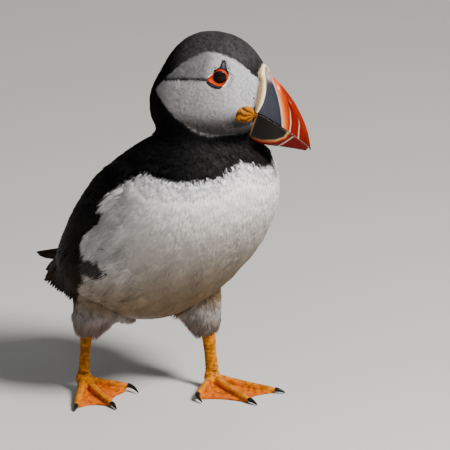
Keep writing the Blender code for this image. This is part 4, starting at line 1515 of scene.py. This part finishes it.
ANKLES = {"right": np.array((-28.9, 32.3)), "left": np.array((23.8, -10.8))}
TOE_TURNS = {"right": (49.0, 17.0, -42.0), "left": (-31.0, 8.0, 62.0)}
TOE_LENGTHS = (35.0, 34.5, 23.5)
TOE_PLATE, SHANK_RING, CREASE = 1.9, 2.1, 0.95  # from one plate, ring or crease to the next
CREASE_HEIGHT = 10.4
LEG_YELLOW = np.array((0.47, 0.153, 0.0004))
WEB_ORANGE = np.array((0.46, 0.088, 0.0002))


def toe_marks(flat, label):
    """How much each place of a foot lies on a toe, and how high on the toe's cross plates."""
    on_toe, cross = np.zeros(len(flat)), np.zeros(len(flat))
    for turn, length in zip(TOE_TURNS[label], TOE_LENGTHS):
        way = np.array((-math.sin(math.radians(turn)), -math.cos(math.radians(turn))))
        far = flat @ way
        off = np.abs(flat @ np.array((-way[1], way[0])))
        near = np.exp(-((off / 2.0) ** 4)) * ramp(far, 2, 5) * (1 - ramp(far, length, length + 2))
        cross = np.where(near > on_toe, np.abs(np.sin(far * math.pi / TOE_PLATE)) ** 0.5, cross)
        on_toe = np.maximum(on_toe, near)
    return on_toe, cross


def make_legs():
    """Scaly shanks, toes with cross plates and thin webs, one skin for each leg."""
    for label, ankle in ANKLES.items():
        nodes = (f"shank_{label}", f"foot_{label}")
        piece = fused(nodes, "leg_" + label, growth=0.2, voxel=0.42, smoothing=4)
        points, normals = surface_of(piece.data)
        flat, height = points[:, :2] - ankle, points[:, 2]
        on_toe, cross = toe_marks(flat, label)
        shank = ramp(height, 9.5, 12.0)
        rings = np.abs(np.sin((height - 9.0) * math.pi / SHANK_RING)) ** 0.5
        over_crease = height - CREASE_HEIGHT
        creases = bell(over_crease, 1.5) * np.cos(over_crease * math.pi / CREASE)
        move = 0.13 * (cross - 0.6) * on_toe * (1 - shank) + 0.12 * (rings - 0.6) * shank + 0.22 * creases
        top = np.clip(normals[:, 2] + 0.4 + shank, 0, 1) * ramp(height, 0.25, 0.9)
        web = (1 - np.maximum(on_toe, shank)) * ramp(np.hypot(*flat.T), 4, 9)
        # Painted shade: the skin darkens in the sunk grooves between the plates and rings.
        grooves = 1 - 0.35 * (1 - np.where(shank > 0.5, rings, cross)) * np.maximum(on_toe, shank)
        points = points + normals * (move * top - 0.2)[:, None]
        points[:, 2] = np.maximum(points[:, 2], 0.0)
        move_points(piece, points)
        paint(piece.data, mix(LEG_YELLOW, WEB_ORANGE, web) * grooves[:, None], "horn")
        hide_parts(*nodes)
        dress(piece, "leg")


CLAW_LENGTH = 0.86  # share of the solid claw's length
CLAW_BED = 0.7  # how far a claw's root is bedded in its toe


def shorten_claw(claw, ankle):
    """Draws a claw in towards its root, the end nearest the ankle."""
    points = points_of(claw.data)
    root = points[np.argsort(np.linalg.norm(points[:, :2] - ankle, axis=1))[:8]].mean(axis=0)
    inward = np.append(ankle - root[:2], 0.0)
    bedded = root + unit(inward) * CLAW_BED
    move_points(claw, bedded + (points - root) * CLAW_LENGTH)


def make_claws():
    """Each foot's claws, rounder than the solids they replace."""
    for label, ankle in ANKLES.items():
        nodes = [f"claw_{toe}_{label}" for toe in ("inner", "middle", "outer")]
        copies = [merged_copy(node, "copy_" + node) for node in nodes]
        for copy in copies:
            shorten_claw(copy, ankle)
        piece = joined(copies, "claws_" + label)
        rounder = piece.modifiers.new("rounder", "SUBSURF")
        rounder.levels = rounder.render_levels = 2
        apply_modifiers(piece)
        piece.data.shade_smooth()
        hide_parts(*nodes)
        dress(piece, "claw")


# ---------------------------------------------------------------- materials


def set_sockets(node, sockets):
    """Gives a node's sockets their values, or links them to other nodes' outputs."""
    for name, value in sockets.items():
        if isinstance(value, bpy.types.NodeSocket):
            node.id_data.links.new(value, node.inputs[name])
        else:
            node.inputs[name].default_value = value


def new_node(tree, kind, sockets):
    node = tree.nodes.new(kind)
    set_sockets(node, sockets)
    return node


def new_material(name, roughness, specular=0.5):
    """A material, its node tree and its shader."""
    made = bpy.data.materials.new(name)
    made.use_nodes = True
    shader = made.node_tree.nodes["Principled BSDF"]
    set_sockets(shader, {"Roughness": roughness, "Specular IOR Level": specular})
    return made, made.node_tree, shader


def spread(tree, value, low, high, out_low, out_high):
    """A value from low to high stretched to another range."""
    limits = {"From Min": low, "From Max": high, "To Min": out_low, "To Max": out_high}
    return new_node(tree, "ShaderNodeMapRange", {"Value": value, **limits}).outputs["Result"]


def scaled_colour(tree, colour, factor):
    node = tree.nodes.new("ShaderNodeVectorMath")
    node.operation = "SCALE"
    set_sockets(node, {"Vector": colour, "Scale": factor})
    return node.outputs["Vector"]


def bump(tree, shader, height, strength, distance):
    sockets = {"Height": height, "Strength": strength, "Distance": distance}
    set_sockets(shader, {"Normal": new_node(tree, "ShaderNodeBump", sockets).outputs["Normal"]})


def stored_colour(tree, name):
    node = tree.nodes.new("ShaderNodeAttribute")
    node.attribute_name = name
    return node.outputs["Color"]


def object_place(tree):
    return tree.nodes.new("ShaderNodeTexCoord").outputs["Object"]


def cells(tree, scale, feature):
    """Distances in a pattern of small cells; scale counts per metre."""
    node = new_node(tree, "ShaderNodeTexVoronoi", {"Vector": object_place(tree), "Scale": scale})
    node.feature = feature
    return node.outputs["Distance"]


def new_group(name, inputs, outputs):
    """An empty shader group: inputs name each socket's kind and value, outputs each socket's kind."""
    group = bpy.data.node_groups.new(name, "ShaderNodeTree")
    for socket, (kind, value) in inputs.items():
        group.interface.new_socket(name=socket, in_out="INPUT", socket_type=kind).default_value = value
    for socket, kind in outputs.items():
        group.interface.new_socket(name=socket, in_out="OUTPUT", socket_type=kind)
    return group, group.nodes.new("NodeGroupInput").outputs, group.nodes.new("NodeGroupOutput")


VALUE, COLOUR, VECTOR = "NodeSocketFloat", "NodeSocketColor", "NodeSocketVector"


def noise_height(group, place, given):
    sockets = {"Vector": place, "Scale": given["Scale"], "Detail": given["Detail"]}
    return new_node(group, "ShaderNodeTexNoise", sockets).outputs["Fac"]


def make_grain():
    """Noise on the object's own coordinates; Scale counts per metre."""
    inputs = {"Scale": (VALUE, 800.0), "Detail": (VALUE, 3.0), "Stretch": (VECTOR, (1, 1, 1))}
    group, given, result = new_group("grain", inputs, {"Height": VALUE})
    sockets = {"Vector": object_place(group), "Scale": given["Stretch"]}
    stretched = new_node(group, "ShaderNodeMapping", sockets).outputs["Vector"]
    set_sockets(result, {"Height": noise_height(group, stretched, given)})
    return group


def make_mottle():
    """Blotches that darken and lighten a colour, and their height; Low and High set how soft they are."""
    starts = {"Scale": 900.0, "Detail": 5.0, "Low": 0.3, "High": 0.7, "Darkest": 0.9, "Lightest": 1.1}
    inputs = {"Colour": (COLOUR, (1, 1, 1, 1)), **{name: (VALUE, start) for name, start in starts.items()}}
    group, given, result = new_group("mottle", inputs, {"Colour": COLOUR, "Height": VALUE})
    noise = noise_height(group, object_place(group), given)
    factor = spread(group, noise, given["Low"], given["High"], given["Darkest"], given["Lightest"])
    set_sockets(result, {"Colour": scaled_colour(group, given["Colour"], factor), "Height": noise})
    return group


def placed_group(tree, group, sockets):
    node = tree.nodes.new("ShaderNodeGroup")
    node.node_tree = group
    set_sockets(node, sockets)
    return node.outputs


def mottled(tree, layer, scale, detail, variation):
    """A stored colour, mottled evenly by a share of itself."""
    sockets = {"Colour": stored_colour(tree, layer), "Scale": scale, "Detail": detail}
    sockets.update({"Darkest": 1 - variation, "Lightest": 1 + variation})
    return placed_group(tree, MOTTLE, sockets)


def plumage_material(name, roughness, specular, variation):
    made, tree, shader = new_material(name, roughness, specular)
    set_sockets(shader, {"Base Color": mottled(tree, "plumage", 900.0, 4.0, variation)["Colour"]})
    return made


def let_light_in(shader, weight, radius):
    """Soft skin that light enters a little; radius is millimetres for red, green and blue."""
    subsurface = {"Subsurface Weight": weight, "Subsurface Radius": radius, "Subsurface Scale": MM}
    set_sockets(shader, subsurface)


def horn_material(name, roughness, specular, variation, bump_scale, bump_height, soft=False):
    """Horn, or soft skin, with fine bumps."""
    made, tree, shader = new_material(name, roughness, specular)
    mottle = mottled(tree, "horn", bump_scale, 5.0, variation)
    set_sockets(shader, {"Base Color": mottle["Colour"]})
    bump(tree, shader, mottle["Height"], 0.6, bump_height)
    if soft:
        let_light_in(shader, 0.1, (0.6, 0.25, 0.1))
    return made


def strip_material():
    """Fleshy skin, cream at its ridge and set with dark dots where it is tan."""
    made, tree, shader = new_material("bill_base_skin", 0.5, 0.25)
    dots = spread(tree, cells(tree, 1500.0, "F1"), 0.22, 0.42, 0.0, 1.0)
    colour = stored_colour(tree, "horn")
    grey = new_node(tree, "ShaderNodeRGBToBW", {"Color": colour}).outputs["Val"]
    least = spread(tree, grey, 0.16, 0.36, 0.30, 0.92)
    factor = spread(tree, dots, 0.0, 1.0, least, 1.0)
    set_sockets(shader, {"Base Color": scaled_colour(tree, colour, factor)})
    bump(tree, shader, dots, 0.5, 0.00012)
    return made


def leg_material():
    """Satin skin with small scales between the plates and dusty specks."""
    made, tree, shader = new_material("leg_skin", 0.40, 0.09)
    to_edge = cells(tree, 900.0, "DISTANCE_TO_EDGE")
    dust = {"Scale": 420.0, "Detail": 6.0, "Low": 0.40, "High": 0.56, "Darkest": 0.6, "Lightest": 1.1}
    specks = placed_group(tree, MOTTLE, {"Colour": stored_colour(tree, "horn"), **dust})
    # Painted shade: the skin darkens towards the sunk edges of the small scales.
    colour = scaled_colour(tree, specks["Colour"], spread(tree, to_edge, 0.0, 0.12, 0.78, 1.03))
    roughness = spread(tree, specks["Height"], 0.3, 0.7, 0.36, 0.55)
    set_sockets(shader, {"Base Color": colour, "Roughness": roughness})
    bump(tree, shader, spread(tree, to_edge, 0.0, 0.25, 0.0, 1.0), 0.5, 0.00012)
    let_light_in(shader, 0.15, (0.8, 0.3, 0.1))
    return made


def two_tone(tree, shader, grain, dark, light):
    """Two near-black shades that follow the grain."""
    node = new_node(tree, "ShaderNodeValToRGB", {"Fac": grain})
    for element, colour in zip(node.color_ramp.elements, (dark, light)):
        element.color = (*colour, 1)
    set_sockets(shader, {"Base Color": node.outputs["Color"]})


def claw_material():
    """Black horn with lengthwise grain."""
    made, tree, shader = new_material("claw_horn", 0.32, 0.12)
    grain = placed_group(tree, GRAIN, {"Scale": 700.0, "Stretch": (1.0, 1.0, 0.4)})["Height"]
    two_tone(tree, shader, grain, (0.004, 0.004, 0.006), (0.013, 0.012, 0.012))
    bump(tree, shader, grain, 0.4, 0.0001)
    return made


def eye_material():
    """Near-black iris under a wet surface."""
    made, tree, shader = new_material("eye_wet", 0.05, 0.07)
    grain = placed_group(tree, GRAIN, {"Scale": 800.0, "Detail": 2.0})["Height"]
    two_tone(tree, shader, grain, (0.002, 0.002, 0.003), (0.010, 0.007, 0.006))
    return made


def make_materials():
    """Plumage and horn: name, roughness, gloss and mottling, then the bumps' scale and height."""
    return {
        "white_plumage": plumage_material("white_plumage", 0.8, 0.08, 0.06),
        "black_plumage": plumage_material("black_plumage", 0.6, 0.03, 0.2),
        "vanes": plumage_material("wing_plumage", 0.5, 0.03, 0.2),
        "horn": horn_material("bill_horn", 0.22, 0.07, 0.10, 1500.0, 0.00003),
        "lower_horn": horn_material("lower_bill_horn", 0.30, 0.12, 0.12, 1500.0, 0.00006),
        "strip": strip_material(),
        "rosette": horn_material("rosette_skin", 0.36, 0.05, 0.08, 1200.0, 0.00012, soft=True),
        "rim": horn_material("eye_rim_skin", 0.35, 0.10, 0.08, 1600.0, 0.00008, soft=True),
        "plate": horn_material("eye_plate_horn", 0.45, 0.12, 0.25, 1600.0, 0.0001),
        "leg": leg_material(),
        "claw": claw_material(),
        "eye": eye_material(),
    }


# ---------------------------------------------------------------- studio


CAMERA_TURN = math.radians(-43.0)
CAMERA_RISE = math.radians(16.0)
CAMERA_DISTANCE = 8.0
SENSOR_WIDTH = 36.0
VIEW_WIDTH = 0.2368
AIM = np.array((5.3, -40.7, 99.9))

FLOOR_SIZE = 12.0
FLOOR_COLOUR = (0.44, 0.43, 0.415, 1.0)
SKY_COLOUR, SKY_STRENGTH = (0.95, 0.97, 1.0, 1.0), 0.14
BIRD_MIDDLE = (0.0, 0.0, 110.0)
# Lights: where each stands from the bird's middle, its size, power and colour.
LIGHTS = {
    "key": ((0.08, -0.97, 0.95), 0.40, 56.0, (1.0, 0.97, 0.93)),
    "rim": ((0.7, 0.8, 0.7), 0.5, 2.5, (1.0, 0.98, 0.95)),
    "fill": ((-0.9, -0.6, 1.1), 0.6, 2.5, (0.85, 0.92, 1.0)),
}


def make_floor():
    """A plain pale floor."""
    bpy.ops.mesh.primitive_plane_add(size=FLOOR_SIZE, location=(0, 0, 0))
    floor = bpy.context.object
    floor.name = "floor"
    finish, _, shader = new_material("studio_floor", 0.85)
    set_sockets(shader, {"Base Color": FLOOR_COLOUR})
    floor.data.materials.append(finish)


def area_light(name, place, target, size, power, colour):
    data = bpy.data.lights.new(name, "AREA")
    data.shape = "DISK"
    data.size = size
    data.energy = power
    data.color = colour
    lamp = bpy.data.objects.new(name, data)
    bpy.context.scene.collection.objects.link(lamp)
    lamp.location = place
    lamp.rotation_euler = Vector(target - place).to_track_quat("-Z", "Y").to_euler()


def make_studio():
    """The floor, a faint even sky and three soft lights."""
    make_floor()
    world = bpy.data.worlds.new("studio")
    world.use_nodes = True
    set_sockets(world.node_tree.nodes["Background"], {"Color": SKY_COLOUR, "Strength": SKY_STRENGTH})
    bpy.context.scene.world = world
    middle = to_model(BIRD_MIDDLE)
    for name, (offset, size, power, colour) in LIGHTS.items():
        area_light(name, middle + np.array(offset), middle, size, power, colour)


def make_camera():
    """A camera far enough away to see the bird almost without perspective."""
    level = np.array((math.sin(CAMERA_TURN), -math.cos(CAMERA_TURN), 0.0))
    back = level * math.cos(CAMERA_RISE) + UP * math.sin(CAMERA_RISE)
    data = bpy.data.cameras.new("camera")
    data.sensor_width = SENSOR_WIDTH
    data.lens = SENSOR_WIDTH * CAMERA_DISTANCE / VIEW_WIDTH
    camera = bpy.data.objects.new("camera", data)
    bpy.context.scene.collection.objects.link(camera)
    camera.location = to_model(AIM) + back * CAMERA_DISTANCE
    camera.rotation_euler = Vector(back).to_track_quat("Z", "Y").to_euler()
    bpy.context.scene.camera = camera


# ---------------------------------------------------------------- build


GRAIN, MOTTLE = make_grain(), make_mottle()
MATERIALS = make_materials()


def build():
    make_camera()
    skin = make_skin()
    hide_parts(*FLESH)
    dress(skin, "white_plumage")
    ground = Ground(skin)
    make_coat(ground)
    make_wings(ground)
    make_tail(ground)
    make_bill()
    make_bill_base()
    make_rosettes()
    make_eyes(ground)
    make_legs()
    make_claws()
    make_studio()


build()
